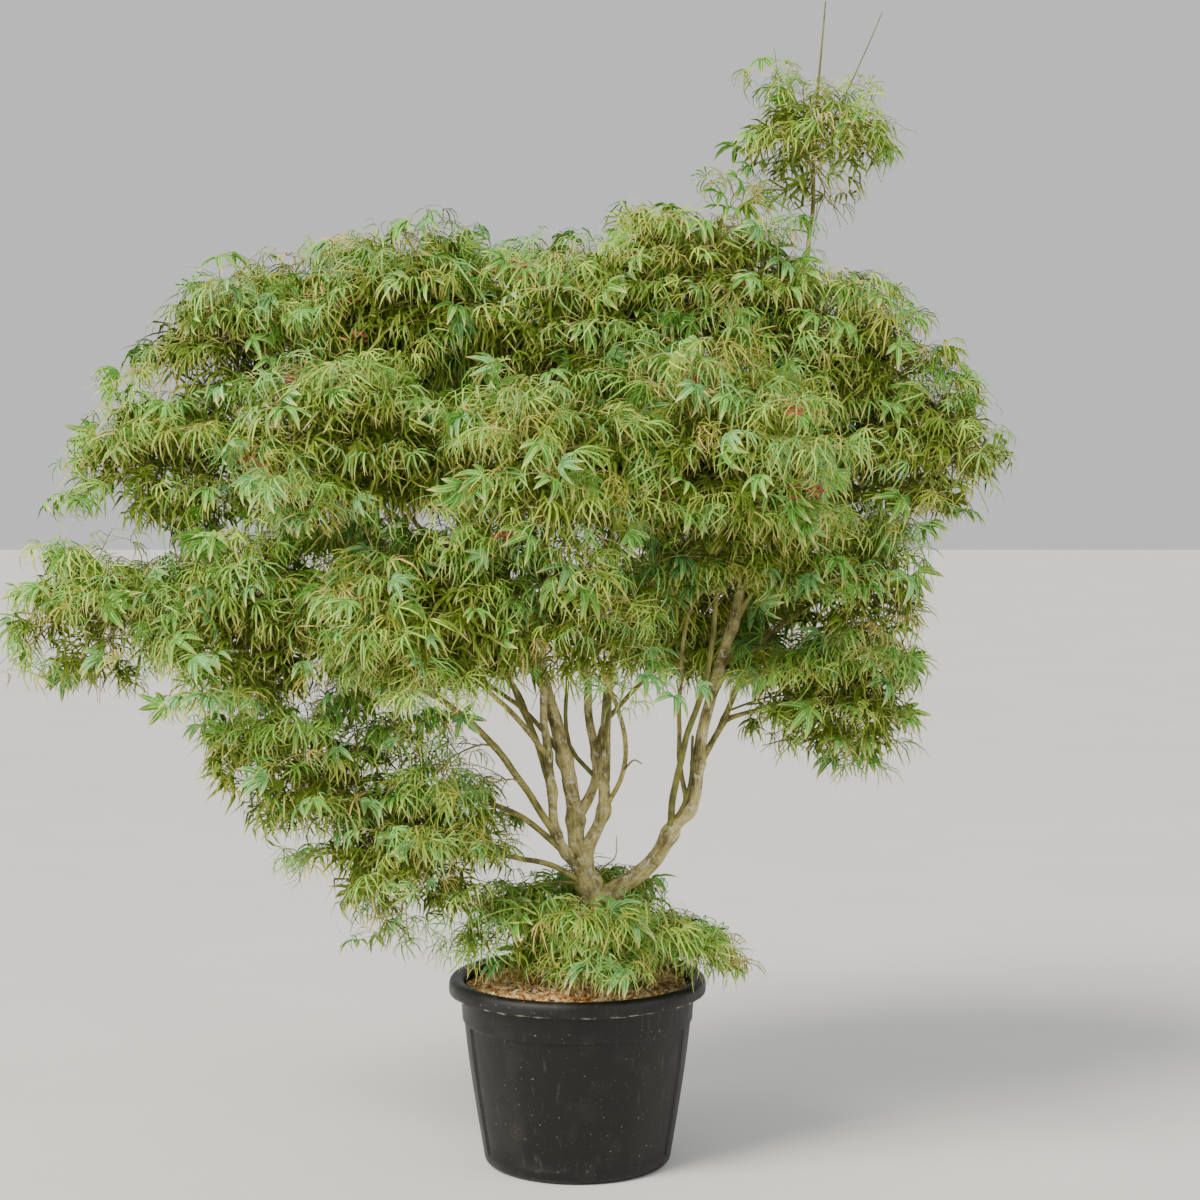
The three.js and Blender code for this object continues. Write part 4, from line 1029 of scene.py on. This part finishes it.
def leaf_material(name, face_code, young_code, rib_and_sheen_code, roughness):
    """A waxy green leaf: pale midrib, partly a painted highlight, leaf-to-leaf change, soft mottling, a painted
    highlight along the edges, and pale tips, partly dry and partly a painted highlight; it gives the eye the
    crown's green.
    """
    material, tree, shader = new_material(name)
    place = add_node(tree, "ShaderNodeTexCoord")
    island = add_node(tree, "ShaderNodeNewGeometry")
    patches = add_node(tree, "ShaderNodeTexNoise", values={"Scale": lumps(PATCH_SIZE), "Detail": 3.0},
                       links={"Vector": place.outputs["Object"]})
    by_leaf = add_node(tree, "ShaderNodeMath", {"operation": "MULTIPLY"}, {1: 0.55},
                       {0: island.outputs["Random Per Island"]})
    both = add_node(tree, "ShaderNodeMath", {"operation": "MULTIPLY_ADD"}, {1: 0.8},
                    {0: patches.outputs["Fac"], 2: by_leaf.outputs[0]})
    span = add_node(tree, "ShaderNodeMapRange", values={"From Min": 0.3, "From Max": 1.0},
                    links={"Value": both.outputs[0]})
    body = add_node(tree, "ShaderNodeMix", MIX_COLOURS, {FIRST: linear(face_code), SECOND: linear(young_code)},
                    {SHARE: span.outputs[0]})
    split = add_node(tree, "ShaderNodeSeparateXYZ", links={"Vector": place.outputs["UV"]})
    off = add_node(tree, "ShaderNodeMath", {"operation": "SUBTRACT"}, {1: 0.5}, {0: split.outputs["X"]})
    apart = add_node(tree, "ShaderNodeMath", {"operation": "ABSOLUTE"}, links={0: off.outputs[0]})
    # the midrib is paler, and its cream is partly a painted highlight
    midrib_and_sheen = add_node(tree, "ShaderNodeMapRange", links={"Value": apart.outputs[0]},
                   values={"From Min": 0.03, "From Max": 0.12, "To Min": 0.75, "To Max": 0.0})
    # a painted highlight along both edges of each strap, in the midrib's cream
    painted_rim_highlight = add_node(tree, "ShaderNodeMapRange", values={"From Min": 0.36, "From Max": 0.49, "To Max": 0.34},
                   links={"Value": apart.outputs[0]})
    with_midrib_and_sheen = add_node(tree, "ShaderNodeMix", MIX_COLOURS, {SECOND: linear(rib_and_sheen_code)},
                      {SHARE: midrib_and_sheen.outputs[0], FIRST: body.outputs[MIXED]})
    with_rim_highlight = add_node(tree, "ShaderNodeMix", MIX_COLOURS, {SECOND: linear(rib_and_sheen_code)},
                      {SHARE: painted_rim_highlight.outputs[0], FIRST: with_midrib_and_sheen.outputs[MIXED]})
    # the tips turn pale: partly dry, partly a painted highlight
    dry_tip_and_sheen = add_node(tree, "ShaderNodeMapRange", values={"From Min": 0.66, "From Max": 0.97, "To Max": 0.75},
                   links={"Value": split.outputs["Y"]})
    with_dry_tip_and_sheen = add_node(tree, "ShaderNodeMix", MIX_COLOURS, {SECOND: linear(DRY_TIP_AND_SHEEN)},
                      {SHARE: dry_tip_and_sheen.outputs[0], FIRST: with_rim_highlight.outputs[MIXED]})
    tree.links.new(with_dry_tip_and_sheen.outputs[MIXED], shader.inputs["Base Color"])
    shader.inputs["Roughness"].default_value = roughness
    shader.inputs["IOR"].default_value = 1.4
    shader.inputs["Specular IOR Level"].default_value = 0.3
    veins = add_node(tree, "ShaderNodeTexNoise", values={"Scale": lumps(VEIN_SIZE), "Detail": 2.0},
                     links={"Vector": place.outputs["Object"]})
    bump = add_node(tree, "ShaderNodeBump", values={"Strength": 0.25, "Distance": 0.0006},
                    links={"Height": veins.outputs["Fac"]})
    tree.links.new(bump.outputs[0], shader.inputs["Normal"])
    return material


# %% [markdown]
# The colours were matched. A sunlit leaf is brighter than its own colour and a shaded one darker, so the
# greens are set a little apart from what the eye reads off the crown.

# %% Colours of the leaves
# the face, the young leaf, the midrib and rim (on the midrib partly, on the rim wholly a painted highlight), the
# roughness
LEAF_COLOURS = {
    "narrow_leaves_yellow_green": ("#649a1c", "#aed446", "#f2ea94", 0.52),
    "narrow_leaves_mid_green": ("#387e16", "#7abe40", "#e4ea8c", 0.5),
    "narrow_leaves_blue_green": ("#34822e", "#70bc5a", "#dcea9c", 0.52),
    "narrow_leaves_deep_green": ("#27560a", "#52881e", "#b8c262", 0.48),
    "narrow_leaves_olive_green": ("#5c7210", "#9ea830", "#e6d67e", 0.52),
    "dried_leaves": ("#a4843a", "#cfb864", "#efe2a2", 0.65),
    # the leaves deep inside are darker olive, as painted shade
    "inner_leaves_painted_shade": ("#3c560c", "#748c26", "#98a646", 0.55),
    "broad_leaves_bright": ("#3a8420", "#74b648", "#d2e08c", 0.5),
    "broad_leaves_pale": ("#3a823a", "#74b668", "#cfe2a0", 0.52),
}
leaf_materials = {}
for name, colours in LEAF_COLOURS.items():
    leaf_materials[name] = leaf_material(name, *colours)
print("leaf materials:", len(leaf_materials))

# %% [markdown]
# Bark is the same recipe on everything woody: old and grey to tan on the stems, greener on young wood, and
# nearly plain on a stalk. Its streaks follow the limb, because they are laid out on the tube's own surface.

# %% Stalk, twig and bark materials
STREAKS_ROUND = 18  # once round a limb, so that they are broader on a thick one
STREAK_LENGTH = 47.6
BLOTCH_SIZE = 41.7
LICHEN_SIZE = 14.3
FRECKLE_SIZE = 4.76
GRAIN_SIZE = 3.85  # coarser than the pores of real bark, so that it shows


def bark_material(name, low_code, high_code, speck_code, speck_share, roughness, height):
    """Thin bark: long streaks, blotches and lichen specks; it gives the stems their grain and their age."""
    material, tree, shader = new_material(name)
    place = add_node(tree, "ShaderNodeTexCoord")
    stretch = add_node(tree, "ShaderNodeMapping", values={"Scale": (STREAKS_ROUND, lumps(STREAK_LENGTH), 1.0)},
                       links={"Vector": place.outputs["UV"]})
    streaks = add_node(tree, "ShaderNodeTexNoise", values={"Scale": 1.0, "Detail": 7.0, "Roughness": 0.65},
                       links={"Vector": stretch.outputs[0]})
    blotches = add_node(tree, "ShaderNodeTexNoise", values={"Scale": lumps(BLOTCH_SIZE), "Detail": 4.0},
                        links={"Vector": place.outputs["Object"]})
    mixed = add_node(tree, "ShaderNodeMath", {"operation": "ADD"},
                     links={0: streaks.outputs["Fac"], 1: blotches.outputs["Fac"]})
    span = add_node(tree, "ShaderNodeMapRange", values={"From Min": 0.82, "From Max": 1.16},
                    links={"Value": mixed.outputs[0]})
    body = add_node(tree, "ShaderNodeMix", MIX_COLOURS, {FIRST: linear(low_code), SECOND: linear(high_code)},
                    {SHARE: span.outputs[0]})
    lichen = add_node(tree, "ShaderNodeTexNoise", links={"Vector": place.outputs["Object"]},
                      values={"Scale": lumps(LICHEN_SIZE), "Detail": 7.0, "Roughness": 0.72})
    mask = add_node(tree, "ShaderNodeMapRange", links={"Value": lichen.outputs["Fac"]},
                    values={"From Min": 1 - speck_share, "From Max": 1.1 - speck_share, "To Max": 0.8})
    crusted = add_node(tree, "ShaderNodeMix", MIX_COLOURS, {SECOND: linear(speck_code)},
                       {SHARE: mask.outputs[0], FIRST: body.outputs[MIXED]})
    freckles = add_node(tree, "ShaderNodeTexNoise", links={"Vector": place.outputs["Object"]},
                        values={"Scale": lumps(FRECKLE_SIZE), "Detail": 4.0, "Roughness": 0.6})
    dark = add_node(tree, "ShaderNodeMapRange", values={"From Min": 0.56, "From Max": 0.7, "To Max": 0.65},
                    links={"Value": freckles.outputs["Fac"]})
    freckled = add_node(tree, "ShaderNodeMix", MIX_COLOURS, {SECOND: linear(low_code)},
                        {SHARE: dark.outputs[0], FIRST: crusted.outputs[MIXED]})
    tree.links.new(freckled.outputs[MIXED], shader.inputs["Base Color"])
    shader.inputs["Roughness"].default_value = roughness
    shader.inputs["IOR"].default_value = 1.45
    grain = add_node(tree, "ShaderNodeTexNoise", values={"Scale": lumps(GRAIN_SIZE), "Detail": 5.0},
                     links={"Vector": place.outputs["Object"]})
    relief = add_node(tree, "ShaderNodeMath", {"operation": "ADD"},
                      links={0: grain.outputs["Fac"], 1: streaks.outputs["Fac"]})
    bump = add_node(tree, "ShaderNodeBump", values={"Strength": 0.6, "Distance": height},
                    links={"Height": relief.outputs[0]})
    tree.links.new(bump.outputs[0], shader.inputs["Normal"])
    return material


old_bark = bark_material("old_bark", "#645c34", "#c9ba7c", "#dcd8bc", 0.47, 0.85, 0.0022)
bough_bark = bark_material("bough_bark", "#5e5830", "#b4a862", "#ccc59c", 0.45, 0.8, 0.0012)
young_bark = bark_material("young_bark", "#4c4e22", "#86853f", "#aaa468", 0.36, 0.7, 0.0008)
twig_bark = bark_material("twig_bark", "#837c42", "#b3a968", "#cbc48c", 0.36, 0.65, 0.0004)
stalk_skin = bark_material("stalk_skin", "#a3a052", "#cfca80", "#e2dca0", 0.3, 0.55, 0.0002)
seed_skin = bark_material("seed_skin", "#843a28", "#b4624a", "#c89676", 0.36, 0.7, 0.0003)
print("woody materials:", sum(material.name.endswith(("bark", "skin")) for material in bpy.data.materials))

# %% [markdown]
# Each heap becomes one piece. It stands in for the solids of its limbs or masses, which are hidden, so the heaps
# of twigs and leaves share the masses between them.

# %% Trunk, stems, boughs, twigs and leaves as pieces
BOUGHS = [name for name in limbs if name not in MAIN_STEMS and name != "green_shoot"]
FOLIAGE_NODES = ["foliage_" + name for name in mass_names]
plant = [
    (stem_heap.piece("stems_bark", old_bark), MAIN_STEMS, "bark"),
    (bough_heap.piece("boughs_bark", bough_bark), BOUGHS, "bark"),
    (shoot_heap.piece("green_shoot_bark", young_bark), ["green_shoot"], "bark"),
    (core_heap.piece("spray_stems", young_bark), FOLIAGE_NODES, "foliage"),
    (twig_heap.piece("twigs", twig_bark), FOLIAGE_NODES, "foliage"),
    (stalk_heap.piece("leaf_stalks", stalk_skin), FOLIAGE_NODES, "foliage"),
    (seed_heap.piece("winged_seeds", seed_skin, smooth=False), FOLIAGE_NODES, "foliage"),
    (extra_heap.piece("side_shoots", young_bark), ["green_shoot"], "bark"),
]
for name, heap in leaf_heaps.items():
    plant.append((heap.piece(name, leaf_materials[name], smooth=False), FOLIAGE_NODES, "foliage"))
for piece, nodes, slot in plant:
    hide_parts(*nodes)

# %% [markdown]
# ## The pot
# It is a moulded nursery pot: a rolled lip, a plain band below it with a stepped foot, and a body whose front
# and back are set in between two plain pads. It is turned from a profile, and the set-in panels are pressed
# into the turned mesh, so that the edges of the panels stay crisp and true.

# %% Pot
POT_SEGMENTS = 256
POT_PROFILE = [
    (0, 8), (0, 0), (200, 0), (207, 1), (213, 4), (218, 9), (220, 15), (221.5, 24), (222.3, 30), (223.4, 36),
    (228, 64), (234, 100), (241, 145), (248, 190), (255, 240), (260, 280), (264, 316), (265.5, 330), (266, 336),
    (268.5, 338), (270.5, 340.5), (271.4, 345), (272, 356), (273, 372), (274, 388), (274.8, 400), (275.5, 405.5),
    (278, 407.4), (290, 407.6), (297, 407), (299.5, 405.2), (301.5, 406), (302.6, 409), (303, 416), (302.6, 424),
    (301, 431), (297.5, 436.3), (292, 439.4), (286, 440), (279, 439), (273, 436.4), (268.5, 432), (266.3, 426),
    (265.5, 418), (264, 400), (257, 338), (240, 190), (211, 8), (0, 8),
]
OUTER_ROWS = 20  # the rows of the profile on the outer wall, up to the band
LIP_ROWS = slice(20, 42)
LIP_EDGE_ROWS = (29, 30, 31)
PANEL_HALF_ANGLE = 68
PANEL_FOOT = 29
PANEL_TOP = 338
PANEL_INSET = 4
FACET_DEPTH = 2.0
FACET_ANGLE = 32.0
BURR_HEIGHT = 2.2
LIP_SAG = 0.72
LIP_EDGE_HEIGHT = 405.5  # the moulding burr along the lip's lower edge is scuffed pale


def smooth_step(value, low, high):
    """A ramp from 0 to 1 that starts and ends level."""
    t = np.clip((value - low) / (high - low), 0, 1)
    return t * t * (3 - 2 * t)


def pot_mesh():
    """The pot turned from its profile, with the panels pressed in, and a lip that isn't quite round or even."""
    profile = np.array(POT_PROFILE, dtype=float)
    outer = (profile[:, 1] > PANEL_FOOT) & (profile[:, 1] < PANEL_TOP) & (np.arange(len(profile)) < OUTER_ROWS)
    angles = np.arange(POT_SEGMENTS) * 2 * math.pi / POT_SEGMENTS
    from_front = np.degrees(np.arctan2(np.abs(np.sin(angles)), np.abs(np.cos(angles))))
    panel = 1 - smooth_step(from_front, PANEL_HALF_ANGLE - 1.0, PANEL_HALF_ANGLE + 1.0)
    facets = FACET_DEPTH * np.abs(np.sin(from_front * math.pi / FACET_ANGLE))
    rise = smooth_step(profile[:, 1], PANEL_FOOT, PANEL_FOOT + 8)
    radius = np.repeat(profile[:, :1], POT_SEGMENTS, axis=1)
    radius -= (outer * rise)[:, None] * ((PANEL_INSET + facets) * panel)[None]
    height = np.repeat(profile[:, 1:], POT_SEGMENTS, axis=1)
    burr = np.array([noise.noise(Vector((math.cos(a) * 9, math.sin(a) * 9, 3.3))) for a in angles])
    for row in LIP_EDGE_ROWS:
        height[row] += burr * BURR_HEIGHT - 0.6
        radius[row] += burr * 0.8
    radius[LIP_ROWS] += LIP_SAG * np.cos(2 * angles + 0.6)
    x, y = np.sin(angles) * radius, -np.cos(angles) * radius
    points = np.stack([x, y, height], -1).reshape(-1, 3)
    i, j = np.meshgrid(np.arange(len(profile) - 1), np.arange(POT_SEGMENTS), indexing="ij")
    a, b = i * POT_SEGMENTS + j, i * POT_SEGMENTS + (j + 1) % POT_SEGMENTS
    triangles = np.concatenate([np.stack([a, b, b + POT_SEGMENTS], -1).reshape(-1, 3),
                                np.stack([a, b + POT_SEGMENTS, a + POT_SEGMENTS], -1).reshape(-1, 3)])
    flat = profile[:, 0] == 0
    keep = ~(flat[triangles // POT_SEGMENTS].sum(axis=1) >= 2)
    uv = np.stack([np.tile(angles / (2 * math.pi), len(profile)), np.repeat(profile[:, 1], POT_SEGMENTS) * MM], -1)
    return points * MM, triangles[keep], uv


pot_points, pot_triangles, pot_uv = pot_mesh()
print("pot's rim in millimetres:", round(float(pot_points[:, 0].max() * 2 / MM)))

# %% [markdown]
# The pot is injection moulded from black polypropylene. Sun, dust and rain have dulled it, so its material is
# black with dusty patches, pale drips that run down it, specks of grit, and a pale scuffed burr under the lip.

# %% Pot material
DUST_SIZE = 111
DRIP_WIDTH = 10.4
DRIP_LENGTH = 156
GRIT_SIZE = 6.67  # only the middle of each lump shows, as a speck of two or three millimetres
BURR_LENGTH = 26.3
PEBBLE_SIZE = 2.38  # coarser than the sheen of real moulded plastic, so that it breaks the light


def moulded_polypropylene():
    """Black moulded polypropylene: satin, with dust, pale scuffs and drips; it gives the pot its worn blackness."""
    material, tree, shader = new_material("moulded_polypropylene")
    place = add_node(tree, "ShaderNodeTexCoord")
    dust = add_node(tree, "ShaderNodeTexNoise", links={"Vector": place.outputs["Object"]},
                    values={"Scale": lumps(DUST_SIZE), "Detail": 8.0, "Roughness": 0.62})
    dust_mask = add_node(tree, "ShaderNodeMapRange", values={"From Min": 0.52, "From Max": 0.86, "To Max": 0.3},
                         links={"Value": dust.outputs["Fac"]})
    body = add_node(tree, "ShaderNodeMix", MIX_COLOURS, {FIRST: linear("#090909"), SECOND: linear("#4e4a43")},
                    {SHARE: dust_mask.outputs[0]})
    squeeze = add_node(tree, "ShaderNodeMapping", links={"Vector": place.outputs["Object"]},
                       values={"Scale": (lumps(DRIP_WIDTH), lumps(DRIP_WIDTH), lumps(DRIP_LENGTH))})
    drips = add_node(tree, "ShaderNodeTexNoise", values={"Scale": 1.0, "Detail": 6.0},
                     links={"Vector": squeeze.outputs[0]})
    drip_mask = add_node(tree, "ShaderNodeMapRange", values={"From Min": 0.62, "From Max": 0.8, "To Max": 0.3},
                         links={"Value": drips.outputs["Fac"]})
    streaked = add_node(tree, "ShaderNodeMix", MIX_COLOURS, {SECOND: linear("#66625a")},
                        {SHARE: drip_mask.outputs[0], FIRST: body.outputs[MIXED]})
    grit = add_node(tree, "ShaderNodeTexNoise", values={"Scale": lumps(GRIT_SIZE), "Detail": 2.0},
                    links={"Vector": place.outputs["Object"]})
    grit_mask = add_node(tree, "ShaderNodeMapRange", values={"From Min": 0.7, "From Max": 0.76, "To Max": 0.55},
                         links={"Value": grit.outputs["Fac"]})
    gritty = add_node(tree, "ShaderNodeMix", MIX_COLOURS, {SECOND: linear("#8f8a7e")},
                      {SHARE: grit_mask.outputs[0], FIRST: streaked.outputs[MIXED]})
    split = add_node(tree, "ShaderNodeSeparateXYZ", links={"Vector": place.outputs["Object"]})
    off = add_node(tree, "ShaderNodeMath", {"operation": "SUBTRACT"}, {1: LIP_EDGE_HEIGHT * MM},
                   {0: split.outputs["Z"]})
    apart = add_node(tree, "ShaderNodeMath", {"operation": "ABSOLUTE"}, links={0: off.outputs[0]})
    edge = add_node(tree, "ShaderNodeMapRange", links={"Value": apart.outputs[0]},
                    values={"From Min": 0.001, "From Max": 0.004, "To Min": 0.85, "To Max": 0.0})
    ragged = add_node(tree, "ShaderNodeTexNoise", values={"Scale": lumps(BURR_LENGTH), "Detail": 6.0},
                      links={"Vector": place.outputs["Object"]})
    torn = add_node(tree, "ShaderNodeMapRange", values={"From Min": 0.5, "From Max": 0.64},
                    links={"Value": ragged.outputs["Fac"]})
    burr_mask = add_node(tree, "ShaderNodeMath", {"operation": "MULTIPLY"},
                         links={0: edge.outputs[0], 1: torn.outputs[0]})
    burred = add_node(tree, "ShaderNodeMix", MIX_COLOURS, {SECOND: linear("#a19b8c")},
                      {SHARE: burr_mask.outputs[0], FIRST: gritty.outputs[MIXED]})
    tree.links.new(burred.outputs[MIXED], shader.inputs["Base Color"])
    rough = add_node(tree, "ShaderNodeMapRange", links={"Value": dust.outputs["Fac"]},
                     values={"From Min": 0.3, "From Max": 0.8, "To Min": 0.36, "To Max": 0.62})
    tree.links.new(rough.outputs[0], shader.inputs["Roughness"])
    shader.inputs["IOR"].default_value = 1.46
    shader.inputs["Specular IOR Level"].default_value = 0.4
    pebble = add_node(tree, "ShaderNodeTexNoise", values={"Scale": lumps(PEBBLE_SIZE), "Detail": 3.0},
                      links={"Vector": place.outputs["Object"]})
    bump = add_node(tree, "ShaderNodeBump", values={"Strength": 0.25, "Distance": 0.0005},
                    links={"Height": pebble.outputs["Fac"]})
    tree.links.new(bump.outputs[0], shader.inputs["Normal"])
    return material


pot = mesh_piece("nursery_pot", pot_points, pot_triangles, moulded_polypropylene(), pot_uv)
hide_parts("pot")

# %% [markdown]
# ## The mulch
# Chips of bark and grit lie in a low mound round the trunk's foot, a little below the rim. A bumpy bed fills
# the pot's mouth from wall to wall, and loose chips are strewn on it, turned any way by a seeded rule.

# %% Mulch bed
SOIL_EDGE_HEIGHT = 412
SOIL_MIDDLE_HEIGHT = 418
SOIL_MIDDLE_RADIUS = 90
SOIL_EDGE_RADIUS = 264.5
HUMP_SIZE = 38
HUMP_HEIGHT = 3.2
CRUMBLE_SIZE = 7
CRUMBLE_HEIGHT = 2.4
BED_RINGS = 60
BED_TURNS = 120


def mulch_height(x, y):
    """The mulch's uneven surface, which falls a little towards the pot's wall."""
    r = np.hypot(x, y)
    base = np.interp(r, [SOIL_MIDDLE_RADIUS, SOIL_EDGE_RADIUS], [SOIL_MIDDLE_HEIGHT, SOIL_EDGE_HEIGHT])
    humps = np.array([noise.noise(Vector((a / HUMP_SIZE, b / HUMP_SIZE, 1))) for a, b in zip(x, y)])
    return base + HUMP_HEIGHT * humps


def mulch_bed():
    """The bed from wall to wall: rings of points at the mulch's height, with a fine crumble on it."""
    radius = np.linspace(0, SOIL_EDGE_RADIUS, BED_RINGS)
    angle = np.arange(BED_TURNS) * 2 * math.pi / BED_TURNS
    x = (radius[:, None] * np.cos(angle)).ravel()
    y = (radius[:, None] * np.sin(angle)).ravel()
    crumble = np.array([noise.noise(Vector((a / CRUMBLE_SIZE, b / CRUMBLE_SIZE, 4))) for a, b in zip(x, y)])
    points = np.stack([x, y, mulch_height(x, y) + CRUMBLE_HEIGHT * crumble - 2], -1)
    i, j = np.meshgrid(np.arange(BED_RINGS - 1), np.arange(BED_TURNS), indexing="ij")
    a, b = i * BED_TURNS + j, i * BED_TURNS + (j + 1) % BED_TURNS
    triangles = np.concatenate([np.stack([a, b + BED_TURNS, b], -1).reshape(-1, 3),
                                np.stack([a, a + BED_TURNS, b + BED_TURNS], -1).reshape(-1, 3)])
    keep = (triangles >= BED_TURNS).sum(axis=1) >= 2
    return points, triangles[keep], points[:, :2] * MM


bed_points, bed_triangles, bed_uv = mulch_bed()
print("points of the bed:", len(bed_points))

# %% [markdown]
# A chip is a small box with its corners pushed about, longer than it is wide, as bark breaks when it is shredded.
# It lies nearly flat, turned any way, and some sink halfway into the bed.

# %% Loose chips
MULCH_CHIPS = 2200
CHIP_HALF_SIZES = ((3, 12), (1.8, 5), (1.2, 3.2))
CHIP_LIFT = (-1, 4)
CHIP_TILT = 0.3
CHIP_ROUGHNESS = 0.22
CHIP_SEED = 31
CHIP_CORNERS = np.array([(x, y, z) for x in (-1, 1) for y in (-1, 1) for z in (-1, 1)], dtype=float)
CHIP_FACES = np.array([(0, 1, 3), (0, 3, 2), (4, 6, 7), (4, 7, 5), (0, 4, 5), (0, 5, 1), (2, 3, 7), (2, 7, 6),
                       (0, 2, 6), (0, 6, 4), (1, 5, 7), (1, 7, 3)])


def mulch_chips(heap):
    """Chips strewn evenly over the bed."""
    random = np.random.default_rng(CHIP_SEED)
    r = SOIL_EDGE_RADIUS * 0.97 * np.sqrt(random.random(MULCH_CHIPS))
    around = random.uniform(0, 2 * math.pi, MULCH_CHIPS)
    x, y = r * np.cos(around), r * np.sin(around)
    height = mulch_height(x, y)
    for k in range(MULCH_CHIPS):
        half = np.array([random.uniform(*sizes) for sizes in CHIP_HALF_SIZES])
        corners = (CHIP_CORNERS + random.normal(0, CHIP_ROUGHNESS, (8, 3))) * half
        tilt, spin = random.normal(0, CHIP_TILT), random.uniform(0, 2 * math.pi)
        c, s, ct, st = math.cos(spin), math.sin(spin), math.cos(tilt), math.sin(tilt)
        corners = corners @ np.array([[ct, 0, -st], [0, 1, 0], [st, 0, ct]])
        corners = corners @ np.array([[c, s, 0], [-s, c, 0], [0, 0, 1]])
        heap.add(corners + [x[k], y[k], height[k] + random.uniform(*CHIP_LIFT)], CHIP_FACES, CHIP_CORNERS[:, :2])


chip_heap = Heap()
mulch_chips(chip_heap)
print("loose chips:", MULCH_CHIPS)

# %% [markdown]
# Mulch isn't one colour: each chip has its own, and finer crumbs darken or lighten parts of it. Both mixed
# together run through a ramp of browns and straws, one for the bed and a paler one for the chips on top.

# %% Mulch material
CRUMB_SIZE = 14.3


def mulch_material(name, codes, height):
    """Shredded bark and grit: each chip its own tan, straw or brown; it gives the pot its warm, crumbly top."""
    material, tree, shader = new_material(name)
    place = add_node(tree, "ShaderNodeTexCoord")
    island = add_node(tree, "ShaderNodeNewGeometry")
    crumbs = add_node(tree, "ShaderNodeTexNoise", values={"Scale": lumps(CRUMB_SIZE), "Detail": 4.0},
                      links={"Vector": place.outputs["Object"]})
    mixed = add_node(tree, "ShaderNodeMath", {"operation": "MULTIPLY_ADD"}, {1: 0.55},
                     {0: island.outputs["Random Per Island"], 2: crumbs.outputs["Fac"]})
    span = add_node(tree, "ShaderNodeMapRange", values={"From Min": 0.3, "From Max": 1.2},
                    links={"Value": mixed.outputs[0]})
    ramp = add_node(tree, "ShaderNodeValToRGB", links={"Fac": span.outputs[0]})
    stops = ramp.color_ramp.elements
    for k in range(1, len(codes) - 1):
        stops.new(k / (len(codes) - 1))
    for stop, code in zip(stops, codes):
        stop.color = linear(code)
    tree.links.new(ramp.outputs["Color"], shader.inputs["Base Color"])
    shader.inputs["Roughness"].default_value = 0.9
    shader.inputs["IOR"].default_value = 1.4
    bump = add_node(tree, "ShaderNodeBump", values={"Strength": 0.7, "Distance": height},
                    links={"Height": crumbs.outputs["Fac"]})
    tree.links.new(bump.outputs[0], shader.inputs["Normal"])
    return material


bed_material = mulch_material("mulch_bed", ["#7d552b", "#bd8e56", "#e4c38e"], 0.003)
bed = mesh_piece("mulch_bed", bed_points * MM, bed_triangles, bed_material, bed_uv)
chip_material = mulch_material("mulch_chips", ["#80542a", "#bf8b4e", "#e9cd9c", "#f9edd0"], 0.001)
chips = chip_heap.piece("mulch_chips", chip_material, smooth=False)
for piece in (bed, chips):
    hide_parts("soil")

# %% [markdown]
# ## The floor and the light
# The tree stands on a plain pale floor, which takes its shadow and gives the eye nothing else to look at.

# %% Floor
MOTTLE_SIZE = 667
FLOOR_REACH = 30  # metres, so that the floor's edge is out of sight


def floor_material():
    """A matt pale floor with a barely visible mottle; it takes the pot's shadow and stays out of the way."""
    material, tree, shader = new_material("floor")
    place = add_node(tree, "ShaderNodeTexCoord")
    mottle = add_node(tree, "ShaderNodeTexNoise", values={"Scale": lumps(MOTTLE_SIZE)},
                      links={"Vector": place.outputs["Object"]})
    ramp = add_node(tree, "ShaderNodeValToRGB", links={"Fac": mottle.outputs["Fac"]})
    for stop, position, code in zip(ramp.color_ramp.elements, (0.3, 0.7), ("#dcdbd9", "#e1e0de")):
        stop.position = position
        stop.color = linear(code)
    tree.links.new(ramp.outputs["Color"], shader.inputs["Base Color"])
    shader.inputs["Roughness"].default_value = 0.9
    return material


floor_mesh = bpy.data.meshes.new("floor")
corners = [(x * FLOOR_REACH, y * FLOOR_REACH, 0) for x, y in ((-1, -1), (1, -1), (1, 1), (-1, 1))]
floor_mesh.from_pydata(corners, [], [(0, 1, 2, 3)])
floor_mesh.materials.append(floor_material())
floor = bpy.data.objects.new("floor", floor_mesh)
bpy.context.scene.collection.objects.link(floor)
print("floor's width in metres:", 2 * FLOOR_REACH)

# %% [markdown]
# The light is soft: a large, high glow from the left front, a weak lamp at each side, and a pale surround that
# fills the shadows, as an overcast sky does.

# %% Light
def add_lamp(name, place, aim, width, watts, code):
    """A round soft lamp that looks at a point."""
    lamp = bpy.data.objects.new(name, bpy.data.lights.new(name, "AREA"))
    lamp.data.shape = "DISK"
    lamp.data.size = width
    lamp.data.energy = watts
    lamp.data.color = linear(code)[:3]
    lamp.location = place
    lamp.rotation_euler = (Vector(aim) - Vector(place)).to_track_quat("-Z", "Y").to_euler()
    bpy.context.scene.collection.objects.link(lamp)


sun = bpy.data.objects.new("sky_glow", bpy.data.lights.new("sky_glow", "SUN"))
sun.data.energy = 3.6
sun.data.angle = math.radians(24)
sun.data.color = linear("#fff8ea")[:3]
sun.rotation_euler = (math.radians(44), 0, math.radians(-46))
bpy.context.scene.collection.objects.link(sun)
add_lamp("right_fill", (4.2, -2.6, 2.6), (0, 0, 1.2), 3.0, 60, "#fbfaf4")
add_lamp("left_fill", (-4.4, -3.0, 2.6), (-0.3, 0, 1.4), 3.0, 120, "#fffdf2")
world = bpy.data.worlds.new("surround")
bpy.context.scene.world = world
world.use_nodes = True
world.node_tree.nodes["Background"].inputs["Color"].default_value = linear("#eceded")
world.node_tree.nodes["Background"].inputs["Strength"].default_value = 0.82
